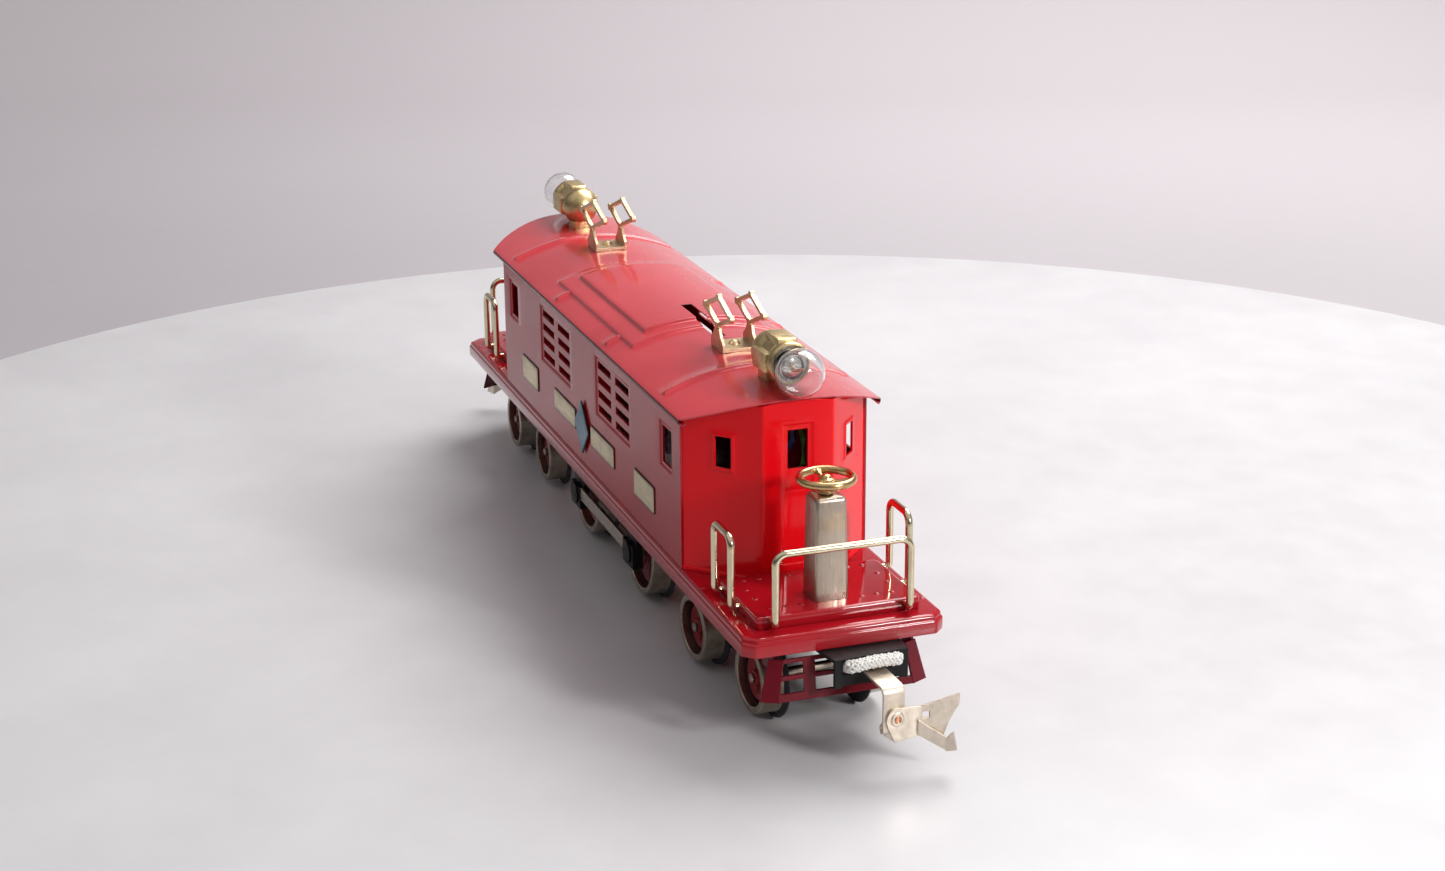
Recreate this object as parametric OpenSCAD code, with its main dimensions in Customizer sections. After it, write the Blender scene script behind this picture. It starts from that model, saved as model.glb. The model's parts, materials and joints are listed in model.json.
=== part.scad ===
// Model electric locomotive, O gauge, stamped sheet metal, double ended.
// X runs along the track (+X is the end with the roof slot), Y across it, Z up.
// Origin: middle of the locomotive on the plane that its wheel flanges touch.
// Heights are drawn from a datum that the flanges reach below; the finished model is lifted by that depth.

/* [Underframe] */
// Length over the two end sills
frame_len = 355.4; // [350:0.2:360]
// Width over the lower skirt
frame_w = 66.4; // [65.4:0.2:67]
// Height of the footplate above the datum
frame_top = 39.9; // [39.5:0.1:40.5]
// Height of the skirt's lower edge
frame_bottom = 34.6; // [34.2:0.1:35]
// Sheet thickness of the underframe, platforms and body
sheet = 0.8; // [0.6:0.1:0.9]

/* [Platforms] */
// Distance from the middle to a platform's inner edge
platform_in = 135.6; // [135.2:0.1:136]
// Length of one raised platform
platform_len = 35.2; // [34:0.2:36]
// Width of one raised platform
platform_w = 54; // [52:0.5:55]
// Height of the raised platform above the footplate
platform_h = 4; // [3.6:0.1:4.4]

/* [Body] */
// Distance from the middle to the body's corners
body_corner = 113.1; // [112:0.1:114]
// Distance from the middle to the face of an end door
door_face = 134.2; // [133.8:0.1:134.6]
// Half width of the door panel
door_half = 12.1; // [11:0.1:13]
// Half width of the body over its side sheets
body_half = 32; // [31.8:0.1:32.2]
// Distance from the middle to the centre of a side window
side_window_x = 97.8; // [96:0.2:99]
// Distance from the middle to the centre of a louvre panel
louvre_x = 37; // [36:0.5:39]

/* [Roof] */
// Half width over the eaves
roof_half = 34.6; // [34.2:0.1:35]
// Height of the eave above the datum
eave_z = 92.3; // [92:0.1:92.6]
// Rise of the arch from the eave to the crown
roof_rise = 8.6; // [8.2:0.1:9]
// Distance from the middle to the roof's end on the centre line
roof_tip = 136.3; // [136:0.1:137]
// Length of the slot for the reverse lever
slot_len = 37; // [36:0.5:38]

/* [Running gear] */
// Radius of a driving wheel's tread
driver_r = 17; // [16.8:0.1:17.2]
// Distance from the middle to a driving axle
driver_x = 33.84; // [33.84:0.01:33.84]
// Radius of a truck wheel's tread
truck_wheel_r = 11.5; // [11.3:0.1:11.7]
// Distance from the middle to a truck's pivot
truck_x = 120.3; // [119.8:0.1:120.8]
// Distance between the two axles of a truck
truck_base = 46.4; // [45:0.2:47]
// Distance between the backs of two wheels on one axle
back_to_back = 28; // [28:0.1:28.2]
// Swivel of the truck at the slotted end as it stands
near_yaw = 4.4; // [0:0.2:5]
// Swing of that truck's coupler beyond the truck's own
near_swing = 2; // [0:0.5:4]

/* [Fittings] */
// Radius of the railing wire
rail_r = 1.2; // [1:0.1:1.3]
// Radius of a handwheel over its rim
handwheel_r = 9.5; // [9:0.1:10]
// Radius of a lamp's glass globe
globe_r = 7.9; // [7.5:0.1:8]

/* [Hidden] */
$fn = 48;

eps = 0.01;
datum = 1.1;
red = "#b01722";
maroon = "#7e1420";
nickel = "#b7b1a4";
brass = "#c8a24a";
black = "#1b1b1d";

// footplate
sill_x = frame_len / 2;
corner_cut = 3.7;
bead_z = 37.8;
bead_out = 0.45;
platform_top = frame_top + platform_h;
motor_gap = [96, 32];

// roof arch: a cylinder along X
arch_r = (roof_half * roof_half + roof_rise * roof_rise) / (2 * roof_rise);
arch_z = eave_z + roof_rise - arch_r;
crown_z = eave_z + roof_rise;
tip_sag = 17.6;
tip_r = (roof_half * roof_half + tip_sag * tip_sag) / (2 * tip_sag);
rib_x = 95.5;
slot_mid = 41.5;
slot_w = 3.8;

// lamps and pantographs
lamp_z = 109.5;
dome_x = 112;
dome_r = 7.2;
case_r = 6.1;
box_half = 3.2;
box_out = 7.7;
bezel_r = 7.2;
bezel_x = 125;
bezel_len = 3;
globe_x = 136.3;
globe_dip = -0.5;
panto_x = 74.5;
panto_half = 5.7;
knuckle_z = 109;

// railings and pedestal
front_rail_x = 174;
front_rail_y = 22;
side_rail_y = 29.6;
side_rail_x = [139.4, 155];
rail_top = 65;
rail_foot_z = 42.1;
rail_bend = 3.5;
foot_bend = 1.8;
pedestal_x = 159;
pedestal_top = 77;
stem_r = 1.5;

// running gear
tread_face = 22.3;
flange_y = 15.2;
flange_out = 2.3;
driver_flange = driver_r + 2;
driver_z = driver_flange - datum;
truck_axle_z = truck_wheel_r + flange_out - datum;
driver_axle_r = 2;
truck_axle_r = 1.55;
plate_in = 11;
plate_out = 12;
truck_plate_z = 32.4;
truck_plate_t = 1;
coupler_pin_x = 62;
shank_z = 28.5;

// gear train, module 1
driver_teeth = 30;
idler_teeth = 43;
pinion_teeth = 12;
mesh_gap = (driver_teeth + idler_teeth) / 2;
idler_z = driver_z + sqrt(mesh_gap * mesh_gap - driver_x * driver_x);
armature_z = idler_z + (idler_teeth + pinion_teeth) / 2;
mesh_angle = atan2(driver_z - idler_z, driver_x);
gear_y = [-13.6, -12.3];

// reverse lever
lever_pivot = [slot_mid, 76];
lever_rest = 30;

// wires inside the body: centre-line points chosen by hand
blue_route = [[66, 5, 62], [78, 4, 63], [92, 1, 66], [106, 0.5, 70], [118, 1.4, 76], [124, 2, 83],
    [124, 2, 90], [119, 1, 95], [114, 0.2, 97.6], [112.2, 0, 100.5], [112, 0, 104.6]];
green_route = [[66, -4, 55], [80, -3, 56], [96, -1, 58], [110, 2.5, 62], [120, 4, 68], [126.5, 4.8, 76],
    [126.5, 4.8, 84], [121, 5, 89], [113, 5, 91], [103, 4.5, 91.5]];
cord_route = [[60.5, -7.3, 30], [62.5, -7.4, 30.1], [64.8, -7.6, 30.7], [66.8, -7.8, 31.4], [67.6, -6, 31.8],
    [67.7, -3, 32.1], [67.7, 0, 32.2], [67.7, 3, 32.1], [67.6, 6, 31.8], [66.8, 7.8, 31.4],
    [64.8, 7.6, 30.7], [62.5, 7.4, 30.1], [60.5, 7.3, 30]];

// ---------- helpers ----------

// Turns what is drawn for the +X end round to the -X end
module at_end(far = false) rotate([0, 0, far ? 180 : 0]) children();

module both_ends() {
    children();
    rotate([0, 0, 180]) children();
}

// Cylinder along Y from y0 to y1, centred on x and z
module rod_y(x, z, r, y0, y1) translate([x, y1, z]) rotate([90, 0, 0]) cylinder(r = r, h = y1 - y0);

// Cylinder along X from x0 to x1, centred on y and z
module rod_x(y, z, r, x0, x1) translate([x0, y, z]) rotate([0, 90, 0]) cylinder(r = r, h = x1 - x0);

// Box from one corner to the other
module block(a, b) translate(a) cube(b - a);

// Round bar between two points
module bar(a, b, r) {
    d = b - a;
    translate(a) rotate([0, acos(d[2] / norm(d)), atan2(d[1], d[0])]) cylinder(r = r, h = norm(d));
}

// Solid under the roof sheet, drawn as a long cylinder with a chosen radius
module arch(r, half_x) rod_x(0, arch_z, r, -half_x, half_x);

// Flat tube along a list of points
function along(p, i) = let (a = p[max(i - 1, 0)], b = p[min(i + 1, len(p) - 1)]) (b - a) / norm(b - a);
function side_of(t) = let (s = cross(t, [0, 0.1, 1])) s / norm(s);
module tube(route, r, sides = 8) {
    rings = [for (i = [0 : len(route) - 1]) let (t = along(route, i), s = side_of(t), u = cross(t, s))
        for (k = [0 : sides - 1]) route[i] + r * (cos(360 * k / sides) * s + sin(360 * k / sides) * u)];
    walls = [for (i = [0 : len(route) - 2], k = [0 : sides - 1], half = [0, 1]) let (m = (k + 1) % sides, j = i * sides)
        half == 0 ? [j + k, j + m, j + sides + m] : [j + k, j + sides + m, j + sides + k]];
    first = [for (k = [sides - 1 : -1 : 0]) k];
    last = [for (k = [0 : sides - 1]) (len(route) - 1) * sides + k];
    polyhedron(points = rings, faces = concat([first], walls, [last]));
}

// Outline of a gear with straight-sided teeth, module 1
module gear_outline(teeth, turn) {
    r = teeth / 2;
    pitch = 360 / teeth;
    polygon([for (i = [0 : teeth - 1], c = [[-0.27, r - 1.2], [-0.12, r + 0.85], [0.12, r + 0.85], [0.27, r - 1.2]])
        c[1] * [cos(turn + (i + c[0]) * pitch), sin(turn + (i + c[0]) * pitch)]]);
}

// Gear in the XZ plane between the gear train's two faces
module gear(x, z, teeth, turn, bore_r) {
    translate([x, gear_y[1], z]) rotate([90, 0, 0]) linear_extrude(gear_y[1] - gear_y[0]) difference() {
        gear_outline(teeth, turn);
        circle(r = bore_r);
    }
}

// Turn that puts a gear in mesh with one at direction phi whose own turn is given
function mesh_turn(phi, teeth_a, turn_a, teeth_b) =
    phi + 180 - (0.5 - (phi - turn_a) * teeth_a / 360) * 360 / teeth_b;

// ---------- underframe and platforms ----------

module sill_outline(grow) {
    x = sill_x + grow - bead_out;
    y = frame_w / 2 + grow - bead_out;
    c = corner_cut;
    polygon([[x - c, -y], [x, -y + c], [x, y - c], [x - c, y], [-x + c, y], [-x, y - c], [-x, -y + c], [-x + c, -y]]);
}

module underframe() color(maroon) difference() {
    union() {
        difference() {
            union() {
                translate([0, 0, frame_bottom]) linear_extrude(bead_z - frame_bottom) sill_outline(bead_out);
                translate([0, 0, bead_z - eps]) linear_extrude(frame_top - bead_z + eps) sill_outline(0);
            }
            translate([0, 0, frame_bottom - 1]) linear_extrude(frame_top - frame_bottom + 1 - sheet)
                sill_outline(-sheet);
            block([-motor_gap[0] / 2, -motor_gap[1] / 2, frame_bottom], [motor_gap[0] / 2, motor_gap[1] / 2, 45]);
        }
        // bosses that carry the truck pivots
        for (s = [-1, 1]) translate([s * truck_x, 0, truck_plate_z + truck_plate_t + 0.3])
            cylinder(r = 6, h = frame_top - sheet - truck_plate_z - truck_plate_t - 0.3 + eps);
    }
    for (s = [-1, 1]) translate([s * truck_x, 0, 20]) cylinder(r = 2.05, h = 40);
}

module platform(far) color(maroon) at_end(far) {
    x0 = platform_in;
    x1 = platform_in + platform_len;
    y = platform_w / 2;
    difference() {
        block([x0, -y, frame_top], [x1, y, platform_top]);
        block([x0 + sheet, -y + sheet, frame_top - 1], [x1 - sheet, y - sheet, platform_top - sheet]);
        for (s = [-1, 1]) rod_x(s * front_rail_y, rail_foot_z, rail_r + 0.06, x1 - 2, x1 + 2);
        for (x = side_rail_x) rod_y(x, rail_foot_z, rail_r + 0.06, -y - 2, y + 2);
    }
    // punched rivets
    for (s = [-1, 1]) {
        for (y = [5, 10, 15, 20]) rivet([x0 + 4, s * y, platform_top - 0.25]);
        for (y = [10, 15, 20]) rivet([x1 - 6.5, s * y, platform_top - 0.25]);
        for (x = [x0 + 12, x0 + 20]) rivet([x, s * 22, platform_top - 0.25]);
    }
}

module rivet(p) translate(p) intersection() {
    sphere(r = 0.9, $fn = 24);
    cylinder(r = 2, h = 2);
}

module platform_near() platform(false);
module platform_far() platform(true);

// ---------- body sheets ----------

window_w = 9.3;
window_z = [70.4, 83];
recess = 0.3;
recess_rim = 1.8;
slot_z = [66.6, 72, 77.3, 82.6];
louvre_slot = [15.7, 2.7];
louvre_gap = 5.5;
wall_top = 92.2;

module side_wall() color(red) difference() {
    block([-body_corner, body_half - sheet, frame_top], [body_corner, body_half, wall_top]);
    for (s = [-1, 1]) {
        block([s * side_window_x - window_w / 2, body_half - 2, window_z[0]],
            [s * side_window_x + window_w / 2, body_half + 1, window_z[1]]);
        block([s * side_window_x - window_w / 2 - recess_rim, body_half - recess, window_z[0] - recess_rim],
            [s * side_window_x + window_w / 2 + recess_rim, body_half + 1, window_z[1] + recess_rim]);
        for (c = [-1, 1], z = slot_z) translate([s * louvre_x + c * (louvre_slot[0] + louvre_gap) / 2, body_half, z])
            cube([louvre_slot[0], 4, louvre_slot[1]], center = true);
        block([s * louvre_x - 20.2, body_half - recess, slot_z[0] - 3], [s * louvre_x + 20.2, body_half + 1, slot_z[3] + 3]);
    }
}

module side_wall_left() side_wall();
module side_wall_right() rotate([0, 0, 180]) side_wall();

panel_angle = atan2(door_face - body_corner, body_half - door_half);

// Plan outline of an end, drawn inwards from its outer face by a distance
module end_outline(d) {
    c = body_corner;
    slope = panel_angle;
    k = d * tan(slope / 2);
    j = d / cos(slope) * (1 - sin(slope)) ;
    x = door_face + sheet - d;
    polygon([[c - d - j, -body_half + d], [c, -body_half + d], [x, -door_half + k],
        [x, door_half - k], [c, body_half - d], [c - d - j, body_half - d]]);
}

module end_wall(far) color(red) at_end(far) difference() {
    intersection() {
        union() {
            translate([0, 0, frame_top]) linear_extrude(65) difference() {
                end_outline(sheet);
                end_outline(2 * sheet);
                translate([0, -50]) square([body_corner - 1.5, 100]);
            }
            // strip along the foot of the wall
            translate([0, 0, frame_top]) linear_extrude(1.1) difference() {
                end_outline(0.2);
                end_outline(2 * sheet);
                translate([0, -50]) square([body_corner + 0.4, 100]);
            }
        }
        arch(arch_r - sheet - 0.1, 150);
    }
    // door: sunk frame, window and lower panel line
    block([door_face - recess, -5.2, 45.5], [door_face + 1, 5.2, 92.4]);
    block([body_corner, -3.4, 77.4], [door_face + 1, 3.4, 90.2]);
    // corner windows
    for (s = [-1, 1]) translate([(body_corner + door_face) / 2, s * (body_half + door_half) / 2, 81.8])
        rotate([0, 0, s * (90 - panel_angle)]) cube([8, 5.7, 10.4], center = true);
}

module end_wall_near() end_wall(false);
module end_wall_far() end_wall(true);

// ---------- roof ----------

module roof_plan(d = 0) {
    mid = roof_tip - tip_r;
    square([2 * mid, 2 * (roof_half - d)], center = true);
    for (s = [-1, 1]) intersection() {
        translate([s * mid, 0]) circle(r = tip_r - d, $fn = 96);
        translate([s * (mid + 50), 0]) square([100 + eps, 2 * (roof_half - d)], center = true);
    }
}

// Raised panel on the roof: half length, half width and height above the sheet
module raised(half_x, half_y, h) intersection() {
    arch(arch_r + h, half_x);
    block([-half_x, -half_y, eave_z], [half_x, half_y, 130]);
}

module roof() color(red) difference() {
    union() {
        intersection() {
            arch(arch_r, 150);
            translate([0, 0, eave_z - 2]) linear_extrude(30) roof_plan();
        }
        raised(47, 27.1, 0.7);
        raised(40, 20.4, 1.6);
        for (s = [-1, 1]) {
            translate([s * rib_x, 0, 0]) raised(1.1, 31.5, 0.6);
            for (t = [-1, 1]) intersection() {
                arch(arch_r + 0.65, 100);
                block([s * 32 - 1.3, t * 29.6 - 2.6, eave_z], [s * 32 + 1.3, t * 29.6 + 2.6, 130]);
            }
        }
    }
    // inside, which leaves a drip lip under each eave
    intersection() {
        arch(arch_r - sheet, 160);
        block([-170, -roof_half + sheet, 60], [170, roof_half - sheet, 130]);
    }
    // lever slot
    block([slot_mid - slot_len / 2, -slot_w / 2, 90], [slot_mid + slot_len / 2, slot_w / 2, 120]);
    // rivet and wire holes
    for (s = [-1, 1]) {
        translate([s * panto_x, 0, 90]) cylinder(r = 1.25, h = 30);
        translate([s * dome_x, 0, 90]) cylinder(r = 1.6, h = 30);
    }
}

// ---------- plates on the sides ----------

plate_t = 0.5;

module side_plates() color("#cfc09a") both_ends() translate([0, -body_half, 0]) {
    for (s = [-1, 1]) block([s * 74 - 11.35, -plate_t, 49], [s * 74 + 11.35, 0, 58.5]);
    block([-39, -plate_t, 49.9], [39, 0, 57.8]);
}

module badges() color("#4f7f96") both_ends() translate([0, -body_half - plate_t, 53.9]) rotate([90, 0, 0])
    linear_extrude(0.6) polygon([[-9.3, 0], [0, -10.3], [9.3, 0], [0, 10.3]]);

// ---------- lamps ----------

module lamp(far) color(brass) at_end(far) difference() {
    union() {
        translate([dome_x, 0, lamp_z]) sphere(r = dome_r);
        rod_x(0, lamp_z, case_r, dome_x, bezel_x + 0.1);
        rod_x(0, lamp_z, bezel_r, bezel_x, bezel_x + bezel_len);
        // three square boxes: left, top and right
        for (a = [-90, 0, 90]) translate([0, 0, lamp_z]) rotate([a, 0, 0])
            block([dome_x + 1.5, -box_half, 4.5], [bezel_x + 0.1, box_half, box_out]);
        block([dome_x - 4, -4, crown_z - 1], [dome_x + 4, 4, lamp_z - 5.2]);
    }
    translate([dome_x, 0, lamp_z]) sphere(r = dome_r - 1);
    rod_x(0, lamp_z, case_r - 1, dome_x, bezel_x + bezel_len + 1);
    rod_x(0, lamp_z, bezel_r - 0.9, bezel_x + 1, bezel_x + bezel_len + 1);
    translate([dome_x, 0, 98]) cylinder(r = 1.6, h = 8);
    arch(arch_r + 0.02, 150);
}

module lamp_near() lamp(false);
module lamp_far() lamp(true);

module bulb(far) color("#e8ecee", 0.5) at_end(far) translate([0, 0, far ? -globe_dip : globe_dip]) difference() {
    union() {
        translate([globe_x, 0, lamp_z]) sphere(r = globe_r);
        rod_x(0, lamp_z, 4.2, 122.4, globe_x);
    }
    translate([globe_x, 0, lamp_z]) sphere(r = globe_r - 0.6);
    rod_x(0, lamp_z, 3.6, 121, globe_x);
}

module bulb_near() bulb(false);
module bulb_far() bulb(true);

module bulb_sockets() color(nickel) both_ends() {
    rod_x(0, lamp_z, case_r - 1, dome_x + 1, dome_x + 2.2);
    rod_x(0, lamp_z, 3.6, dome_x + 1.2, 122.1);
    rod_x(0, lamp_z, 2.9, 122, 126.5);
}

// ---------- pantographs ----------

module pantograph(far) color(brass) at_end(far) {
    tips = far ? [[74.8, knuckle_z], [88.2, 113.6], [71.5, 119.6], [58, 115.2]]
        : [[74.5, knuckle_z], [88, 114.3], [75.8, 118.8], [62, 113.3]];
    difference() {
        block([panto_x - 6, -panto_half, crown_z], [panto_x + 6, panto_half, crown_z + 1.2]);
        translate([panto_x, 0, 90]) cylinder(r = 1.25, h = 30);
    }
    for (s = [-1, 1]) translate([0, s * panto_half, 0]) rotate([90, 0, 0]) {
        // cheek bent up from the base
        translate([0, 0, -0.5]) linear_extrude(1) polygon([
            [panto_x - 6, crown_z - 0.2], [panto_x + 6, crown_z - 0.2], [panto_x + 6, crown_z + 2.6],
            [panto_x + 3.4, crown_z + 4.6], [panto_x + 2, knuckle_z - 0.6], [panto_x - 1.8, knuckle_z - 0.6],
            [panto_x - 3.6, crown_z + 5], [panto_x - 6, crown_z + 3]]);
        // folding frame with round knuckles
        translate([0, 0, -0.75]) linear_extrude(1.5) for (i = [0 : 3]) {
            link(tips[i], tips[(i + 1) % 4], 1.3);
            translate(tips[i]) circle(r = 1.3);
        }
    }
}

// Flat bar between two points of a drawing
module link(a, b, width) translate(a) rotate(atan2(b[1] - a[1], b[0] - a[0]))
    translate([0, -width / 2]) square([norm(b - a), width]);

module pantograph_near() pantograph(false);
module pantograph_far() pantograph(true);

module roof_rivets() color(brass) both_ends() {
    translate([panto_x, 0, crown_z - 1.5]) cylinder(r = 1.2, h = 3);
    translate([panto_x, 0, crown_z + 1.2]) intersection() {
        translate([0, 0, -0.6]) sphere(r = 2.1, $fn = 24);
        cylinder(r = 3, h = 3);
    }
}

// ---------- railings ----------

// Quarter bend of the railing wire in the XZ plane of its own frame
module bend(r) rotate_extrude(angle = 90) translate([r, 0]) circle(r = rail_r, $fn = 24);

// Inverted U in the XZ plane: half span; feet turn towards +Y
module railing(half, foot_len) {
    for (s = [-1, 1]) mirror([s < 0 ? 1 : 0, 0, 0]) {
        translate([half, 0, rail_foot_z + foot_bend]) cylinder(r = rail_r, h = rail_top - rail_bend - rail_foot_z - foot_bend);
        translate([half - rail_bend, 0, rail_top - rail_bend]) rotate([90, 0, 0]) bend(rail_bend);
        translate([half, foot_bend, rail_foot_z + foot_bend]) rotate([0, 0, -90]) rotate([-90, 0, 0]) bend(foot_bend);
        rod_y(half, rail_foot_z, rail_r, foot_bend, foot_len);
    }
    rod_x(0, rail_top, rail_r, -half + rail_bend, half - rail_bend);
}

module front_railing(far) color("#c2b48a") at_end(far)
    translate([front_rail_x, 0, 0]) rotate([0, 0, 90]) railing(front_rail_y, front_rail_x - platform_in - platform_len + 2);

module front_railing_near() front_railing(false);
module front_railing_far() front_railing(true);

module side_railings() color("#c2b48a") both_ends() for (s = [-1, 1])
    translate([(side_rail_x[0] + side_rail_x[1]) / 2, s * side_rail_y, 0]) rotate([0, 0, s > 0 ? 180 : 0])
        railing((side_rail_x[1] - side_rail_x[0]) / 2, side_rail_y - platform_w / 2 + 2);

// ---------- pedestal and handwheel ----------

module square_slab(half, z) translate([-half, -half, z]) cube([2 * half, 2 * half, eps]);

module pedestal(far) color(nickel) at_end(far) translate([pedestal_x, 0, 0]) difference() {
    union() {
        hull() {
            square_slab(5.6, platform_top);
            square_slab(5, pedestal_top - 1.2);
        }
        hull() {
            square_slab(5, pedestal_top - 1.2);
            square_slab(4.2, pedestal_top);
        }
    }
    translate([0, 0, pedestal_top - 12]) cylinder(r = stem_r + 0.06, h = 20);
}

module pedestal_near() pedestal(false);
module pedestal_far() pedestal(true);

module handwheel(far) color(brass) at_end(far) translate([pedestal_x, 0, 0]) {
    rim_z = 82;
    translate([0, 0, rim_z]) rotate_extrude() translate([handwheel_r - 1.3, 0]) circle(r = 1.3, $fn = 24);
    for (a = [60, 180, 300]) translate([0, 0, rim_z - 0.2]) rotate([0, 0, a])
        rod_x(0, 0, 0.95, 0, handwheel_r - 1.3);
    translate([0, 0, rim_z - 1.6]) cylinder(r = 2.2, h = 2.8);
    translate([0, 0, pedestal_top + 0.3]) cylinder(r = 2.5, h = 1.1);
    translate([0, 0, pedestal_top - 11]) cylinder(r = stem_r, h = rim_z - pedestal_top + 11);
}

module handwheel_near() handwheel(false);
module handwheel_far() handwheel(true);

// ---------- pilots ----------

pilot_top = 31.3;
pilot_x = 175.5;
pilot_lean = 8.2;
pilot_drop = 13.34;
wing_turn = 27;
wing_lean = 11.5;
wing_drop = 13.47;

// Sheet panel standing in the plane x = 0, drawn looking from +X
module panel(points) rotate([90, 0, 90]) translate([0, 0, -sheet]) linear_extrude(sheet) polygon(points);

module pilot(far) color(maroon) at_end(far) {
    difference() {
        translate([pilot_x, 0, pilot_top]) rotate([0, -pilot_lean, 0])
            panel([[-20.4, 0], [-22.6, -pilot_drop], [22.6, -pilot_drop], [20.4, 0]]);
        for (y = [-17.6, -6, 6, 17.6]) {
            block([pilot_x - 9, y - 3.9, pilot_top - 5.2], [pilot_x + 9, y + 3.9, pilot_top - 1.3]);
            block([pilot_x - 9, y - 3.9, pilot_top - 10.8], [pilot_x + 9, y + 3.9, pilot_top - 6.6]);
        }
    }
    for (s = [0, 1]) mirror([0, s, 0]) {
        translate([pilot_x, 20.4 - eps, pilot_top]) rotate([0, 0, wing_turn]) rotate([0, -wing_lean, 0])
            panel([[-0.4, 0], [0.7, -wing_drop], [6.7, -wing_drop], [4.3, 0]]);
        // tab that hangs the pilot from the footplate
        block([166, 22.7, 27], [pilot_x - 1.8, 23.5, frame_top - sheet]);
    }
}

module pilot_near() pilot(false);
module pilot_far() pilot(true);

// ---------- trucks ----------

module truck_turn(far) at_end(far) translate([truck_x, 0, 0]) rotate([0, 0, far ? 0 : near_yaw]) children();

module truck_frame(far) color(black) truck_turn(far) {
    top = truck_plate_z + truck_plate_t;
    difference() {
        union() {
            // top plate with its tongue
            translate([0, 0, truck_plate_z]) linear_extrude(truck_plate_t)
                polygon([[-33, -13.4], [58, -13.4], [65, -12.4], [65, 12.4], [58, 13.4], [-33, 13.4]]);
            // side plates between the wheels
            for (s = [-1, 1]) {
                block([-30, s * 12.9 - 0.5, 8.5], [30, s * 12.9 + 0.5, truck_plate_z + eps]);
                // stirrup that the coupler hangs in
                block([63.8, s * 11.1 - 1.3, 24], [65, s * 11.1 + 1.3, truck_plate_z + eps]);
            }
            block([63.8, -12.4, 24.6], [65, 12.4, 28.2]);
            // coupler pin with its head
            translate([coupler_pin_x, 0, 27.4]) cylinder(r = 1.4, h = truck_plate_z - 27.4 + eps);
            translate([coupler_pin_x, 0, 27.2]) cylinder(r = 2.4, h = 1);
        }
        for (x = [-truck_base / 2, truck_base / 2]) rod_y(x, truck_axle_z, truck_axle_r + 0.06, -20, 20);
        translate([0, 0, 20]) cylinder(r = 2.06, h = 20);
    }
}

module truck_frame_near() truck_frame(false);
module truck_frame_far() truck_frame(true);

module truck_pivot_screws() color(nickel) both_ends() translate([truck_x, 0, 0]) {
    translate([0, 0, 30]) cylinder(r = 2, h = frame_top - 30);
    translate([0, 0, 29.6]) cylinder(r = 4.2, h = truck_plate_z - 0.3 - 29.6);
    translate([0, 0, frame_top]) cylinder(r = 3.4, h = 1.4);
}

// Turns a half section about the axle, once for each wheel: points are [radius, distance from the middle]
module wheel_pair(x, z, section) for (s = [-1, 1]) translate([x, 0, z]) rotate([s * -90, 0, 0])
    rotate_extrude($fn = 96) polygon(section);

// Tyre with its tread and flange, and the centre pressed into it
rim = 2.1;
wheel_back = back_to_back / 2;
module tyres(x, z, r, flange) wheel_pair(x, z, [[r - rim, wheel_back], [flange - 0.4, wheel_back],
    [flange, wheel_back + 0.4], [flange, wheel_back + 0.9], [r, flange_y + 0.2], [r - 0.2, tread_face], [r - rim, tread_face]]);
module centres(x, z, r, axle_r, hub_r) wheel_pair(x, z, [[axle_r, wheel_back], [r - rim, wheel_back],
    [r - rim, tread_face - 1.6], [r - rim - 1.2, tread_face - 1.6], [r - rim - 1.8, tread_face - 2.4],
    [hub_r + 0.4, tread_face - 2.4], [hub_r, tread_face - 0.9], [axle_r, tread_face - 0.9]]);

module axle(x, z, r) rod_y(x, z, r, -tread_face + 0.3, tread_face - 0.3);

module truck_wheelset(x) {
    tyres(x, truck_axle_z, truck_wheel_r, truck_wheel_r + flange_out);
    centres(x, truck_axle_z, truck_wheel_r + eps, truck_axle_r - 0.2, 3.2);
    axle(x, truck_axle_z, truck_axle_r);
}

module truck_wheels(far, outer) color(nickel) truck_turn(far)
    truck_wheelset((outer ? 1 : -1) * truck_base / 2);

module near_outer_wheels() truck_wheels(false, true);
module near_inner_wheels() truck_wheels(false, false);
module far_outer_wheels() truck_wheels(true, true);
module far_inner_wheels() truck_wheels(true, false);

// ---------- couplers ----------

strap_w = 7.4;
strap_t = 0.9;
drop_x = 17;
rivet_z = 17.8;

module coupler_turn(far) truck_turn(far) translate([coupler_pin_x, 0, 0]) rotate([0, 0, far ? 0 : near_swing])
    children();

// Strap seen from the side: level at the pin, drooping a little, then bent down
function strap_arc(r) = [for (a = [84 : -12 : 0]) [drop_x - 2.6 + r * cos(a), 25.4 + r * sin(a)]];

module coupler(far) color(nickel) coupler_turn(far) difference() {
    union() {
        translate([0, 0, shank_z]) cylinder(r = strap_w / 2, h = strap_t);
        translate([0, strap_w / 2, 0]) rotate([90, 0, 0]) linear_extrude(strap_w) polygon(concat(
            [[0, shank_z], [0, shank_z + strap_t], [3, shank_z + strap_t]], strap_arc(2.6), [[drop_x, 13.5], [drop_x - strap_t, 13.5]],
            [for (i = [7 : -1 : 0]) strap_arc(2.6 - strap_t)[i]], [[3, shank_z]]));
        // curled tail behind the drop strap
        block([drop_x - 5, -3.4, 12.6], [drop_x - strap_t + eps, -2.4, 16]);
    }
    translate([0, 0, 20]) cylinder(r = 1.46, h = 12);
    rod_x(0.6, rivet_z, 1.25, drop_x - 5, drop_x + 5);
}

module coupler_near() coupler(false);
module coupler_far() coupler(true);

// Plate standing in the plane x = 0 with its face forward
module plate(points, t = 1) rotate([90, 0, 90]) linear_extrude(t) polygon(points);

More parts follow.
